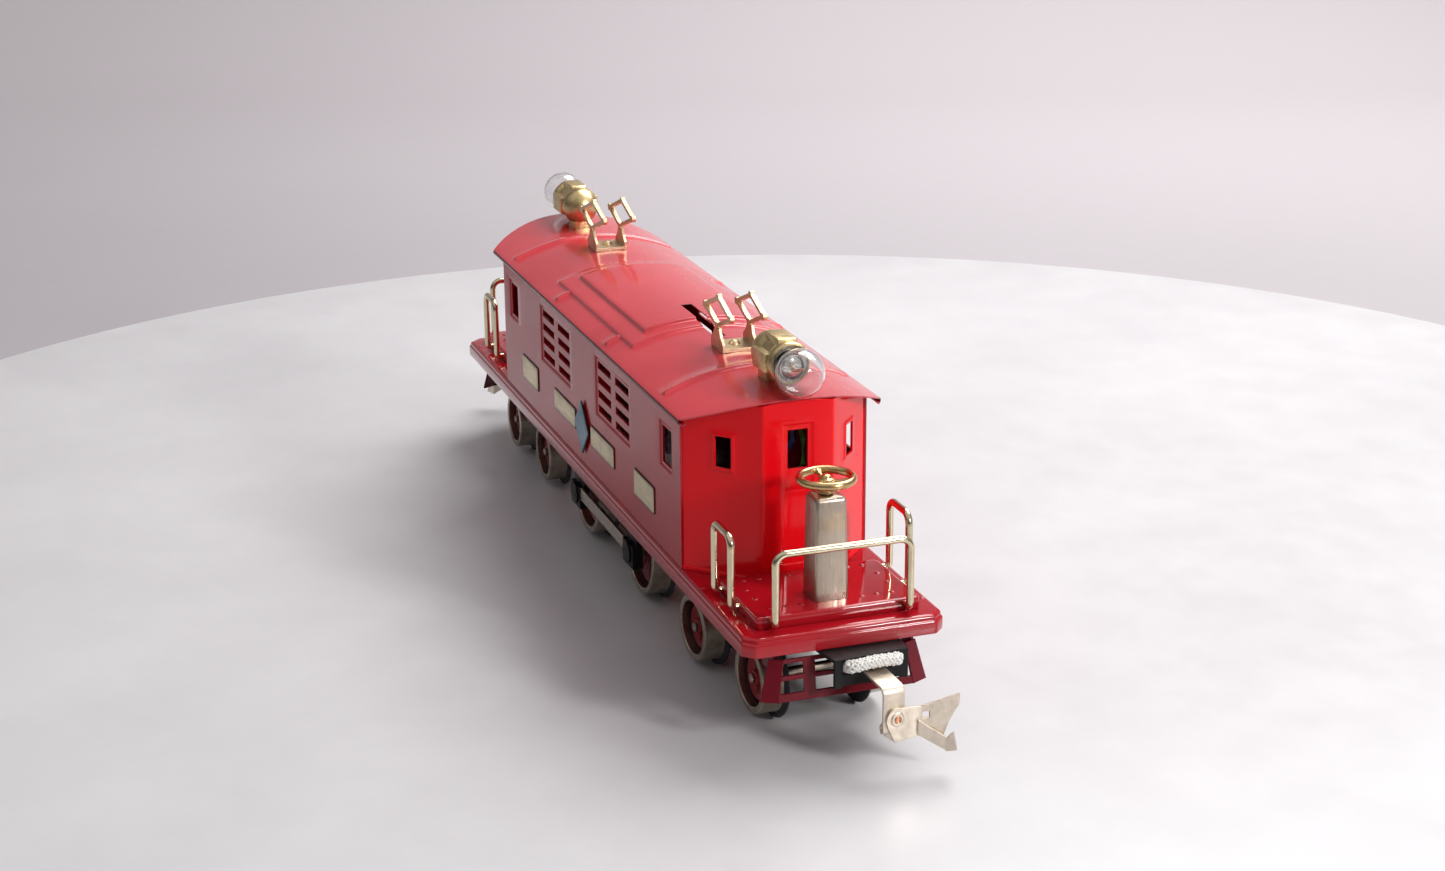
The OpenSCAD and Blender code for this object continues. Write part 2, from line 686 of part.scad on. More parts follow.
module coupler_head(far) color(nickel) coupler_turn(far) translate([drop_x + 0.05, 0, 0]) {
    // face plate with a rounded ear round the rivet
    plate([[-2.5, 15.2], [-0.2, 10.2], [8.6, 11.1], [8.8, 20.5], [0.6, 21.4]]);
    translate([0, 0.6, rivet_z]) rotate([0, 90, 0]) cylinder(r = 3.6, h = 1);
    // gusset folded back from the lower corner
    translate([0.05, -0.2, 0]) rotate([0, 0, 155]) plate([[0, 10.4], [2.9, 12.2], [2.4, 13.1], [0, 13.1]], 0.9);
    // pointed wing with its window, folded forward
    translate([0, 8.5, 0]) rotate([0, 0, -13]) difference() {
        plate([[0, 20.5], [12.6, 23.4], [12.4, 20.3], [9.4, 15.2], [7.6, 10.4], [0, 16]]);
        translate([-2, 0.8, 16.6]) cube([5, 2.4, 2.2]);
    }
    // hook arm with its turned-out tip
    translate([0.7, 7.8, 0]) rotate([0, 0, -20]) {
        plate([[0, 16.4], [0, 11.6], [9, 5.8], [9, 10.2]]);
        translate([0.1, 8.9, 0]) rotate([0, 0, -24]) plate([[0, 5.8], [3.4, 6.6], [2.2, 12.6], [0, 10.1]]);
    }
    // rivet
    rod_x(0.6, rivet_z, 1.2, -strap_t - 0.8, 1.2);
    rod_x(0.6, rivet_z, 2, 0.9, 1.6);
}

module coupler_head_near() coupler_head(false);
module coupler_head_far() coupler_head(true);

module coupler_cord() color("#f2f0ea") truck_turn(false) tube(cord_route, 2, 10);

// ---------- driving wheels and gear train ----------

module driver_set(x) {
    tyres(x, driver_z, driver_r, driver_flange);
    axle(x, driver_z, driver_axle_r);
}

module front_drivers() color(nickel) driver_set(driver_x);
module rear_drivers() color(nickel) driver_set(-driver_x);
module front_driver_centres() color(red) centres(driver_x, driver_z, driver_r, driver_axle_r, 4);
module rear_driver_centres() color(red) centres(-driver_x, driver_z, driver_r, driver_axle_r, 4);

// The profile is seen from -Y, so directions are measured from +X towards +Z
module front_driver_gear() color(brass)
    gear(driver_x, driver_z, driver_teeth, mesh_turn(mesh_angle, idler_teeth, 0, driver_teeth), driver_axle_r);
module rear_driver_gear() color(brass)
    gear(-driver_x, driver_z, driver_teeth, mesh_turn(180 - mesh_angle, idler_teeth, 0, driver_teeth), driver_axle_r);

module idler_gear() color(brass) {
    gear(0, idler_z, idler_teeth, 0, 2.5);
    rod_y(0, idler_z, 2.5, gear_y[0], gear_y[1]);
    rod_y(0, idler_z, 2, gear_y[1] - eps, plate_out + 0.8);
}

module armature() color("#8b5a3a") {
    gear(0, armature_z, pinion_teeth, mesh_turn(90, idler_teeth, 0, pinion_teeth), 1.5);
    rod_y(0, armature_z, 1.5, gear_y[0], plate_out + 2);
    // wound core with three slots, and the commutator
    difference() {
        rod_y(0, armature_z, 10, -7, 5);
        for (a = [90, 210, 330]) translate([0, 6, armature_z]) rotate([90, 0, 0]) rotate([0, 0, a])
            translate([6, -1.5, 0]) cube([6, 3, 14]);
    }
    rod_y(0, armature_z, 5.5, 5 - eps, 9);
}

module motor_side_plates() color("#9a9c9e") {
    for (s = [-1, 1]) difference() {
        union() {
            translate([0, s * (plate_in + 0.5) + 0.5, 0]) rotate([90, 0, 0]) linear_extrude(1) polygon([
                [-44, 12], [-38, 8], [38, 8], [44, 12], [44, 42], [26, 56], [24, 80], [-24, 80], [-26, 56], [-44, 42]]);
            for (t = [-1, 1]) block([t * 40 - 3, min(s * plate_in, s * 20), frame_top - sheet - 1],
                [t * 40 + 3, max(s * plate_in, s * 20), frame_top - sheet]);
        }
        for (t = [-1, 1]) rod_y(t * driver_x, driver_z, driver_axle_r + 0.06, -20, 20);
        rod_y(0, idler_z, 2.06, -20, 20);
        rod_y(0, armature_z, 1.56, -20, 20);
        if (s > 0) for (t = [-1, 1]) rod_y(0, armature_z + t * 3.9, 1.3, 5, 20);
    }
    // spacers; the upper pair also carries the field core
    for (s = [-1, 1], p = [[35, 38], [20, 12], [14.5, armature_z + 8.4]])
        rod_y(s * p[0], p[1], 1.6, -plate_in - eps, plate_in + eps);
}

module field_core() color("#5d5f62") difference() {
    union() {
        block([-18, -6, armature_z - 13], [18, 4, armature_z + 12]);
        block([-7, -6, armature_z + 12 - eps], [7, 4, armature_z + 23]);
    }
    rod_y(0, armature_z, 10.5, -20, 20);
    for (s = [-1, 1]) rod_y(s * 14.5, armature_z + 8.4, 1.65, -20, 20);
}

module field_coil() color("#7a3b1d") difference() {
    translate([0, -1, armature_z + 16.6]) cube([24, 19, 9], center = true);
    translate([0, -1, armature_z + 16.6]) cube([14.1, 10.1, 12], center = true);
}

module brush_plate() color("#5a3a22") difference() {
    union() {
        block([-14, plate_out, armature_z - 9], [14, plate_out + 1.4, armature_z + 9]);
        for (t = [-1, 1]) rod_y(0, armature_z + t * 3.9, 1.25, 9.3, plate_out + 4);
    }
    rod_y(0, armature_z, 2.2, plate_out - 1, plate_out + 3);
}

// Sliding contacts for the centre rail
module pickup_shoes() color("#b06a3c") {
    block([-26, -plate_in, 8.4], [26, plate_in, 9.6]);
    for (s = [-1, 1]) {
        block([s * 15 - 6, -6, 1.6], [s * 15 + 6, 6, 2.5]);
        block([s * 15 - 1, -4, 2.4], [s * 15 + 1, 4, 8.5]);
    }
}

module driver_side_frames() color(black) for (s = [-1, 1]) {
    translate([0, s * 24.6 + 0.4, 0]) rotate([90, 0, 0]) linear_extrude(0.8) polygon([
        [-40, frame_top - sheet], [-40, 20], [-28, 20], [-26, 22.6], [26, 22.6], [28, 20], [40, 20], [40, frame_top - sheet]]);
    for (t = [-1, 1]) {
        block([t * driver_x - 6, s * 24.6 - 1.9, 12], [t * driver_x + 6, s * 24.6 + 1.9, 20.4]);
        rod_y(t * driver_x, driver_z - 1, 4.2, s * 24.6 - 2.2 + s * 0.4, s * 24.6 + 2.2 + s * 0.4);
    }
}

module driver_side_bars() color(nickel) for (s = [-1, 1])
    block([-driver_x + 6, s * 25.6 - 0.6, 15.8], [driver_x - 6, s * 25.6 + 0.6, 20.6]);

// ---------- reverse unit and wiring ----------

module reverse_unit() color("#8d8f92") difference() {
    union() {
        block([50, -9, frame_top], [68, 9, frame_top + 1.2]);
        block([50, -8, frame_top], [66, 8, 72]);
        for (s = [-1, 1]) translate([0, s * 1.9 + 0.6, 0]) rotate([90, 0, 0]) linear_extrude(1.2)
            polygon([[50.5, 60], [52, 72], [45, 79], [38.5, 79], [38.5, 73], [44, 70], [50.5, 60]]);
        rod_y(lever_pivot[0], lever_pivot[1], 1.2, -2.5, 2.5);
    }
}

module reverse_lever() color(nickel) translate([lever_pivot[0], 0.6, lever_pivot[1]]) rotate([90, 0, 0])
    rotate([0, 0, lever_rest]) linear_extrude(1.2)
    difference() {
        union() {
            circle(r = 2.6);
            translate([-1.2, 0]) square([2.4, 23.4]);
            translate([0, 23.4]) circle(r = 1.6);
        }
        circle(r = 1.27);
    }

module wire_blue() color("#2a5fae") tube(blue_route, 0.8);
module wire_green() color("#4f9a3a") tube(green_route, 0.8);

// ---------- assembly ----------

module lifted() translate([0, 0, datum]) children();

lifted() underframe();
lifted() platform_near();
lifted() platform_far();
lifted() side_wall_right();
lifted() side_wall_left();
lifted() end_wall_near();
lifted() end_wall_far();
lifted() roof();
lifted() side_plates();
lifted() badges();
lifted() lamp_near();
lifted() lamp_far();
lifted() bulb_near();
lifted() bulb_far();
lifted() bulb_sockets();
lifted() pantograph_near();
lifted() pantograph_far();
lifted() roof_rivets();
lifted() front_railing_near();
lifted() front_railing_far();
lifted() side_railings();
lifted() pedestal_near();
lifted() pedestal_far();
lifted() pilot_near();
lifted() pilot_far();
lifted() truck_pivot_screws();
lifted() motor_side_plates();
lifted() field_core();
lifted() field_coil();
lifted() brush_plate();
lifted() pickup_shoes();
lifted() reverse_unit();
lifted() wire_blue();
lifted() wire_green();
lifted() driver_side_frames();
lifted() driver_side_bars();
lifted() handwheel_near();
lifted() handwheel_far();
lifted() front_drivers();
lifted() front_driver_centres();
lifted() front_driver_gear();
lifted() rear_drivers();
lifted() rear_driver_centres();
lifted() rear_driver_gear();
lifted() idler_gear();
lifted() armature();
lifted() reverse_lever();
lifted() truck_frame_near();
lifted() truck_frame_far();
lifted() near_outer_wheels();
lifted() near_inner_wheels();
lifted() far_outer_wheels();
lifted() far_inner_wheels();
lifted() coupler_near();
lifted() coupler_far();
lifted() coupler_head_near();
lifted() coupler_head_far();
lifted() coupler_cord();
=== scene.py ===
"""Looks of the model electric locomotive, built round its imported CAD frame."""
import json
from math import asin, atan2, copysign, cos, exp, hypot, pi, radians, sin, sqrt, tan, tau

import bmesh
import bpy
from mathutils import Matrix, Vector


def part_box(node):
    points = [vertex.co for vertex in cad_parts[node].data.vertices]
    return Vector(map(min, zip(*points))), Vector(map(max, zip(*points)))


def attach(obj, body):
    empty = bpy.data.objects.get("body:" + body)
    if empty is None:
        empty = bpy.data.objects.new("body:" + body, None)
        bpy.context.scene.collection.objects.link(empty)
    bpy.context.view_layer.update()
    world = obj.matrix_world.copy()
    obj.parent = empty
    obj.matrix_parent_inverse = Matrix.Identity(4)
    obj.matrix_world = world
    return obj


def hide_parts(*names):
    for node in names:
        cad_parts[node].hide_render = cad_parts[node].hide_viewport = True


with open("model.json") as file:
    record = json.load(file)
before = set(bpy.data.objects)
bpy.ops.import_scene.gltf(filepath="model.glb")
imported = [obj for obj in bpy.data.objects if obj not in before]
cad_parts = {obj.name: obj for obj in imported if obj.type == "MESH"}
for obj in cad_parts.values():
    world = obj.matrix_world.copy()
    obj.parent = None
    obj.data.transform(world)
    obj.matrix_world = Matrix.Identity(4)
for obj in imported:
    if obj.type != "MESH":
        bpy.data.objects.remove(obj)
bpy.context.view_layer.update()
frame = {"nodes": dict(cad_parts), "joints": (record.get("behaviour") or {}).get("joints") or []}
MM = 0.001
# shapes are drawn from the CAD's height datum, which lies this far above the flange tips
DATUM = Vector((0, 0, 1.1))
CAMERA_TURN = 71.07
joint = {j["name"]: j for j in frame["joints"]}


def low(node):
    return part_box(node)[0] / MM - DATUM


def high(node):
    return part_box(node)[1] / MM - DATUM


def pivot(name):
    return Vector(joint[name]["pos_m"]) / MM - DATUM


def shift(x=0, y=0, z=0):
    return Matrix.Translation((x, y, z))


def spin(degrees, axis="Z"):
    return Matrix.Rotation(radians(degrees), 4, axis)


def new_object(name, data):
    obj = bpy.data.objects.new(name, data)
    bpy.context.scene.collection.objects.link(obj)
    return obj


# ---------- shader nodes ----------

class Graph:
    """Short names for making and joining shader nodes."""

    def __init__(self, tree, space="Object"):
        self.tree = tree
        self.coord = self.node("TexCoord").outputs[space]

    def node(self, kind, sockets=None):
        made = self.tree.nodes.new("ShaderNode" + kind)
        self.feed(made, sockets or {})
        return made

    def feed(self, node, sockets):
        for key, x in sockets.items():
            self.put(node.inputs[key], x)

    def put(self, socket, x):
        """Sets a socket to a number, colour or direction, or joins it to another node's output."""
        if isinstance(x, tuple):
            socket.default_value = (*x, 1) if socket.type == "RGBA" else x
        elif isinstance(x, (int, float)):
            socket.default_value = x
        else:
            self.tree.links.new(x, socket)

    def noise(self, scale, detail=3, rough=0.55, stretch=None):
        at = self.coord
        if stretch:
            at = self.node("Mapping", {"Vector": at, "Scale": stretch}).outputs["Vector"]
        made = self.node("TexNoise", {"Vector": at, "Scale": scale, "Detail": detail, "Roughness": rough})
        return made.outputs["Fac"]

    def spots(self, scale):
        return self.node("TexVoronoi", {"Vector": self.coord, "Scale": scale}).outputs["Distance"]

    def span(self, value, lo, hi, out_lo=0.0, out_hi=1.0):
        made = self.node("MapRange")
        made.interpolation_type = "SMOOTHSTEP"
        self.feed(made, {"Value": value, "From Min": lo, "From Max": hi, "To Min": out_lo, "To Max": out_hi})
        return made.outputs["Result"]

    def math(self, how, a, b):
        made = self.node("Math", {0: a, 1: b})
        made.operation = how
        return made.outputs[0]

    def times(self, a, b):
        return self.math("MULTIPLY", a, b)

    def dot(self, a, b):
        made = self.node("VectorMath")
        made.operation = "DOT_PRODUCT"
        self.feed(made, {0: a, 1: b})
        return made.outputs["Value"]

    def mix(self, factor, a, b):
        made = self.node("Mix")
        made.data_type = "RGBA"
        self.put(made.inputs["Factor"], factor)
        for key, x in (("A", a), ("B", b)):
            self.put(next(s for s in made.inputs if s.name == key and s.type == "RGBA"), x)
        return next(s for s in made.outputs if s.type == "RGBA")

    def rounded(self, radius):
        made = self.node("Bevel", {"Radius": radius})
        made.samples = 4
        return made.outputs["Normal"]

    def edge(self, normal):
        """1 along sharp edges, 0 on flats."""
        return self.span(self.dot(normal, self.node("NewGeometry").outputs["Normal"]), 0.985, 0.8)

    def bump(self, height, strength, distance, normal=None):
        made = self.node("Bump", {"Height": height, "Strength": strength, "Distance": distance})
        if normal:
            self.put(made.inputs["Normal"], normal)
        return made.outputs["Normal"]


# ---------- camera and lights ----------

def set_camera():
    """Long lens, a little above the roof, off the near end's right-hand corner."""
    data = bpy.data.cameras.new("camera")
    data.lens = 62.1
    data.sensor_width = 36
    data.clip_start = 0.02
    data.clip_end = 20
    cam = new_object("camera", data)
    height, tilt, roll = 0.33134 + DATUM.z * MM, 18.1, -0.42
    stand = shift(0.82998, -0.26353, height) @ spin(CAMERA_TURN)
    cam.matrix_world = stand @ spin(90 - tilt, "X") @ spin(roll)
    bpy.context.scene.camera = cam


def soft_light(name, place, aim, size, watts, tint):
    data = bpy.data.lights.new(name, "AREA")
    data.shape = "RECTANGLE"
    data.size, data.size_y = size
    data.energy = watts
    data.color = tint
    lamp = new_object(name, data)
    lamp.location = place
    lamp.rotation_euler = (Vector(aim) - Vector(place)).to_track_quat("-Z", "Y").to_euler()


def set_light():
    """Pale ceiling and a dim room behind the camera, key from the back right, fill from the front right."""
    world = bpy.data.worlds.new("studio")
    world.use_nodes = True
    g = Graph(world.node_tree, "Generated")
    to_camera, up = g.dot(g.coord, (0.6, -0.8, 0)), g.dot(g.coord, (0, 0, 1))
    room = g.mix(g.span(to_camera, -0.45, 0.55), (0.40, 0.38, 0.395), (0.09, 0.085, 0.09))
    sky = g.mix(g.span(up, 0.15, 0.85), room, (0.74, 0.72, 0.73))
    g.feed(g.tree.nodes["Background"], {"Color": sky, "Strength": 0.85})
    scene = bpy.context.scene
    scene.world = world
    soft_light("key", (-0.35, 0.62, 1.05), (0.0, 0, 0.05), (1.0, 0.8), 18.0, (1, 0.995, 0.985))
    soft_light("fill", (1.5, 0.75, 0.80), (0.14, 0, 0.06), (0.27, 0.27), 18.0, (1, 0.985, 0.97))
    scene.view_settings.view_transform = "Standard"
    scene.view_settings.look = "None"
    scene.view_settings.exposure = 0.0


# ---------- materials ----------

FINE = 0.00005  # metres of relief under orange peel and brushing marks


def new_material(name):
    mat = bpy.data.materials.new(name)
    mat.use_nodes = True
    return mat, Graph(mat.node_tree), mat.node_tree.nodes["Principled BSDF"]


def enamel(name, colour, deep, worn=(0.30, 0.16, 0.12), rough=0.17, coat=0.0, dust=0.5, ior=1.5):
    """Sprayed and baked enamel: faint orange peel, cloudy depth, dust specks and rubbed edges."""
    mat, g, shader = new_material(name)
    soft = g.rounded(0.00035)
    rub = g.times(g.edge(soft), g.span(g.noise(240, 4, 0.6), 0.56, 0.74))
    fleck = g.times(g.span(g.spots(330), 0.055, 0.02), g.span(g.noise(90, 2), 0.56, 0.66))
    base = g.mix(g.span(g.noise(26, 4), 0.3, 0.72), colour, deep)
    base = g.mix(g.times(rub, 0.75), base, worn)
    haze = g.span(g.noise(70, 5, 0.65), 0.35, 0.8, rough * 0.8, rough * 1.7)
    g.feed(shader, {
        "Base Color": g.mix(g.times(fleck, dust), base, (0.62, 0.52, 0.50)),
        "Roughness": g.math("ADD", haze, g.times(rub, 0.25)),
        "Normal": g.bump(g.noise(1100, 2, 0.5), 0.035, FINE, soft),
        "Coat Weight": coat, "Coat Roughness": 0.07, "IOR": ior,
    })
    return mat


def metal(name, colour, dull, rough=0.25, grain=(1, 1, 1), grain_scale=900, grain_depth=0.12, tarnish=0.5,
          edge_radius=0.0003, metallic=1.0):
    """Bare or plated metal with brushing marks, blotchy tarnish and brighter rubbed edges."""
    mat, g, shader = new_material(name)
    soft = g.rounded(edge_radius)
    stain = g.times(g.span(g.noise(120, 6, 0.68), 0.42, 0.72), tarnish)
    lines = g.noise(grain_scale, 3, 0.6, grain)
    base = g.mix(g.span(lines, 0.35, 0.7, 0.0, 0.16), g.mix(stain, colour, dull), dull)
    g.feed(shader, {
        "Base Color": g.mix(g.times(g.edge(soft), 0.45), base, tuple(min(1, c * 1.12) for c in colour)),
        "Roughness": g.math("ADD", g.span(lines, 0.3, 0.75, rough * 0.75, rough * 1.35),
                            g.times(stain, 0.16)),
        "Normal": g.bump(lines, grain_depth, FINE, soft),
        "Metallic": metallic,
    })
    return mat


def clear_glass(name):
    """Blown glass with faint smears and waves."""
    mat, g, shader = new_material(name)
    smear = g.noise(120, 4, 0.6)
    g.feed(shader, {
        "Base Color": g.mix(g.span(smear, 0.3, 0.8), (0.985, 0.99, 0.99), (0.94, 0.95, 0.95)),
        "Roughness": g.span(smear, 0.4, 0.8, 0.0, 0.06),
        "Normal": g.bump(g.noise(160, 2), 0.05, 0.0002),
        "Transmission Weight": 0.97, "IOR": 1.46,
    })
    return mat


def fabric(name, colour, dark):
    """Cotton braid: each strand has fine twisted fibres."""
    mat, g, shader = new_material(name)
    fibre = g.noise(2600, 4, 0.7, (1.0, 0.35, 1.0))
    base = g.mix(g.span(fibre, 0.35, 0.62), dark, colour)
    g.feed(shader, {
        "Base Color": g.mix(g.span(g.noise(420, 3), 0.55, 0.8, 0.0, 0.25), base, (0.62, 0.58, 0.5)),
        "Roughness": g.span(fibre, 0.3, 0.7, 0.8, 0.95),
        "Normal": g.bump(fibre, 0.5, 0.0001),
        "Sheen Weight": 0.35,
    })
    return mat


def plastic(name, colour, dark, rough=0.4):
    """Slightly mottled moulding."""
    mat, g, shader = new_material(name)
    g.feed(shader, {
        "Base Color": g.mix(g.span(g.noise(160, 4), 0.35, 0.7), colour, dark),
        "Roughness": g.span(g.noise(500, 3), 0.3, 0.7, rough * 0.8, rough * 1.3),
        "Normal": g.bump(g.noise(1400, 3), 0.15, FINE, g.rounded(0.0002)),
    })
    return mat


def winding(name):
    """Enamelled wire wound in close turns."""
    mat, g, shader = new_material(name)
    wave = g.node("TexWave", {"Vector": g.coord, "Scale": 520, "Distortion": 1.2})
    wave.bands_direction = "Z"
    turns = wave.outputs["Fac"]
    g.feed(shader, {
        "Base Color": g.mix(turns, (0.16, 0.05, 0.02), (0.50, 0.20, 0.08)),
        "Roughness": g.span(turns, 0.1, 0.9, 0.45, 0.28),
        "Normal": g.bump(turns, 0.6, 0.0002),
        "Metallic": 0.4,
    })
    return mat


# the cab ends and the body sides are one red paint: the ends are painted lighter as painted light, the sides
# darker as painted shade
END_RED_LIT = enamel("end_red_painted_light", (0.86, 0.004, 0.010), (0.78, 0.003, 0.008), rough=0.10, ior=1.3)
SIDE_RED_SHADED = enamel("side_red_painted_shade", (0.42, 0.004, 0.011), (0.36, 0.003, 0.009), rough=0.15, ior=1.4)
ROOF_RED = enamel("roof_red_gloss", (0.66, 0.042, 0.056), (0.56, 0.030, 0.042), coat=0.4, dust=0.9)
MAROON = enamel("sill_red_gloss", (0.41, 0.006, 0.014), (0.33, 0.005, 0.011), rough=0.07, coat=0.4, dust=0.35,
                ior=1.40)
# pilots: dark maroon paint, made darker still as painted shade under the footplate
PILOT_RED_SHADED = enamel("pilot_red_and_painted_shade", (0.15, 0.004, 0.012), (0.10, 0.003, 0.008), rough=0.2, ior=1.35)
WHEEL_RED = enamel("wheel_red", (0.32, 0.005, 0.012), (0.20, 0.004, 0.008), rough=0.3, ior=1.4)
# near-black red for the recess round each wheel centre: painted shade
RECESS_SHADE_RED = enamel("wheel_recess_painted_shade", (0.045, 0.003, 0.005), (0.025, 0.002, 0.003), rough=0.45, ior=1.35)
BLACK = enamel("black_satin", (0.009, 0.009, 0.010), (0.005, 0.005, 0.006), (0.08, 0.075, 0.07), rough=0.40,
               ior=1.32)
# near black for the roof slot's cut walls and the lever seen through it: painted shade
SHADE = enamel("slot_painted_shade", (0.006, 0.004, 0.004), (0.003, 0.002, 0.002), (0.02, 0.015, 0.012), rough=0.6,
               dust=0.1, ior=1.25)
# darker red for the roof's curled hem along the eaves: painted shade
HEM_SHADE_RED = enamel("hem_painted_shade", (0.12, 0.004, 0.009), (0.07, 0.003, 0.006), (0.10, 0.04, 0.03), rough=0.22,
                 ior=1.35)
PLATE_EDGE = enamel("plate_border", (0.030, 0.020, 0.014), (0.018, 0.012, 0.010), (0.4, 0.3, 0.15), rough=0.4,
                    coat=0.1)
BLUE = enamel("badge_blue", (0.105, 0.22, 0.30), (0.075, 0.17, 0.24), (0.5, 0.42, 0.28), 0.35, coat=0.15)
NICKEL = metal("nickel_plate", (0.60, 0.53, 0.45), (0.42, 0.36, 0.29), rough=0.3, grain=(0.2, 1, 1))
TYRE = metal("tyre_nickel", (0.43, 0.38, 0.31), (0.18, 0.14, 0.105), 0.36, grain=(1, 0.15, 1), tarnish=0.75)
# near-black metal for the inner faces of tyres and flanges under the body: painted shade
FLANGE_SHADE = metal("flange_painted_shade", (0.045, 0.05, 0.06), (0.02, 0.02, 0.025), 0.42, metallic=0.6)
BRUSHED = metal("brushed_nickel", (0.47, 0.40, 0.325), (0.36, 0.29, 0.22), 0.34, grain=(1, 1, 0.06),
                tarnish=0.35)
COUPLER = metal("coupler_nickel", (0.78, 0.69, 0.58), (0.52, 0.45, 0.36), 0.4, grain_scale=500)
BRASS = metal("lamp_brass", (0.74, 0.58, 0.30), (0.36, 0.27, 0.12), 0.33, tarnish=0.6, edge_radius=0.00015)
FRAME_BRASS = metal("pantograph_brass", (0.70, 0.57, 0.38), (0.44, 0.30, 0.16), 0.40)
WIRE = metal("railing_wire", (0.72, 0.64, 0.45), (0.46, 0.36, 0.20), 0.14, grain_depth=0.03, tarnish=0.35)
WHEEL_BRASS = metal("handwheel_brass", (0.66, 0.46, 0.22), (0.40, 0.24, 0.10), 0.2)
STEEL = metal("steel", (0.46, 0.46, 0.46), (0.20, 0.19, 0.18), 0.35)
IRON = metal("iron", (0.16, 0.16, 0.165), (0.07, 0.065, 0.06), 0.55)
GEAR = metal("gear_brass", (0.70, 0.50, 0.22), (0.34, 0.22, 0.09), 0.32, tarnish=0.6)
COPPER = metal("copper", (0.72, 0.36, 0.22), (0.34, 0.14, 0.08), 0.3)
PLATE = metal("etched_plate", (0.66, 0.58, 0.40), (0.44, 0.37, 0.24), 0.38, grain=(0.1, 1, 1), tarnish=0.45)
SILVER = metal("bulb_cap", (0.88, 0.86, 0.82), (0.50, 0.42, 0.36), 0.26, tarnish=0.4)
GLASS = clear_glass("bulb_glass")
FILAMENT = plastic("filament", (0.75, 0.20, 0.03), (0.45, 0.10, 0.02), 0.5)
FIBRE = plastic("fibre_board", (0.16, 0.075, 0.035), (0.08, 0.036, 0.018), 0.65)
BLUE_WIRE = plastic("blue_insulation", (0.04, 0.20, 0.72), (0.02, 0.12, 0.50), 0.35)
GREEN_WIRE = plastic("green_insulation", (0.16, 0.55, 0.10), (0.09, 0.38, 0.06), 0.35)
COTTON = fabric("white_cotton", (0.86, 0.85, 0.82), (0.60, 0.58, 0.55))
# darker cotton for the braid's core: painted shade between the strands
COTTON_SHADE = fabric("cotton_core_painted_shade", (0.62, 0.60, 0.57), (0.44, 0.42, 0.39))
COIL = winding("copper_winding")


# ---------- mesh helpers: everything is drawn in mm ----------

def as_object(name, bm, materials, crisp=None):
    """Smooth-shaded object of a finished bmesh, with hard edges where it turns by more than crisp degrees."""
    mesh = bpy.data.meshes.new(name)
    bm.to_mesh(mesh)
    bm.free()
    for m in materials if isinstance(materials, (list, tuple)) else [materials]:
        mesh.materials.append(m)
    for p in mesh.polygons:
        p.use_smooth = True
    if crisp:
        mesh.set_sharp_from_angle(angle=radians(crisp))
    return new_object(name, mesh)


def piece(name, bm, materials, stands_for, crisp, body="chassis", place=None):
    """Makes one Blender piece of a finished bmesh and hangs it on a CAD body."""
    bmesh.ops.remove_doubles(bm, verts=bm.verts, dist=0.0005)
    bmesh.ops.dissolve_degenerate(bm, edges=bm.edges, dist=0.0004)
    bmesh.ops.recalc_face_normals(bm, faces=bm.faces)
    bm.transform(Matrix.Scale(MM, 4) @ Matrix.Translation(DATUM) @ (place or Matrix()))
    obj = as_object(name, bm, materials, crisp)
    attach(obj, body)
    if stands_for:
        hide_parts(*stands_for)


def loft(bm, rings, closed=True, caps=(False, False), wrap=False, mat=0):
    """Skin over a row of rings."""
    rows = [[bm.verts.new(p) for p in ring] for ring in rings]
    n = len(rings[0])
    pairs = list(zip(rows, rows[1:])) + ([(rows[-1], rows[0])] if wrap else [])
    made = []
    for a, b in pairs:
        for i in range(n if closed else n - 1):
            k = (i + 1) % n
            made.append(bm.faces.new((a[i], a[k], b[k], b[i])))
    if caps[0]:
        made.append(bm.faces.new(list(reversed(rows[0]))))
    if caps[1]:
        made.append(bm.faces.new(rows[-1]))
    for f in made:
        f.material_index = mat


def turned(bm, profile, axis="Y", at=(0, 0, 0), steps=48, wrap=False, caps=(False, False), mat=0):
    """Revolves (radius, along) points round an axis through a point."""
    at = Vector(at)
    rings = []
    for r, t in profile:
        around = [(r * cos(tau * i / steps), r * sin(tau * i / steps)) for i in range(steps)]
        rings.append([at + Vector({"X": (t, c, s), "Y": (c, t, s), "Z": (c, s, t)}[axis]) for c, s in around])
    loft(bm, rings, wrap=wrap, caps=caps, mat=mat)


def frames_along(route, side=None):
    """Each point of a route with two directions square to it, which twist as little as they can."""
    out = []
    for i, p in enumerate(route):
        d = (route[min(i + 1, len(route) - 1)] - route[max(i - 1, 0)]).normalized()
        if side is None:
            side = d.cross(Vector((0, 0, 1)) if abs(d.z) < 0.9 else Vector((1, 0, 0)))
        side = (side - d * side.dot(d)).normalized()
        out.append((p, side.copy(), d.cross(side)))
    return out


def tube(bm, route, radius, sides=12, mat=0, squash=1.0, start_side=None):
    """Round or oval bar along points; the radius may be one number or one for each point."""
    rings = []
    for i, (p, side, up) in enumerate(frames_along([Vector(p) for p in route], start_side)):
        r = radius[i] if isinstance(radius, (list, tuple)) else radius
        around = [tau * k / sides for k in range(sides)]
        rings.append([p + side * (r * cos(t)) + up * (r * squash * sin(t)) for t in around])
    loft(bm, rings, caps=(True, True), mat=mat)


def slab(bm, outline, thickness, place, mat=0):
    """Plate with a chosen outline in its own XY plane, from 0 to its thickness in Z."""
    rings = [[place @ Vector((x, y, z)) for x, y in outline] for z in (0, thickness)]
    loft(bm, rings, caps=(True, True), mat=mat)


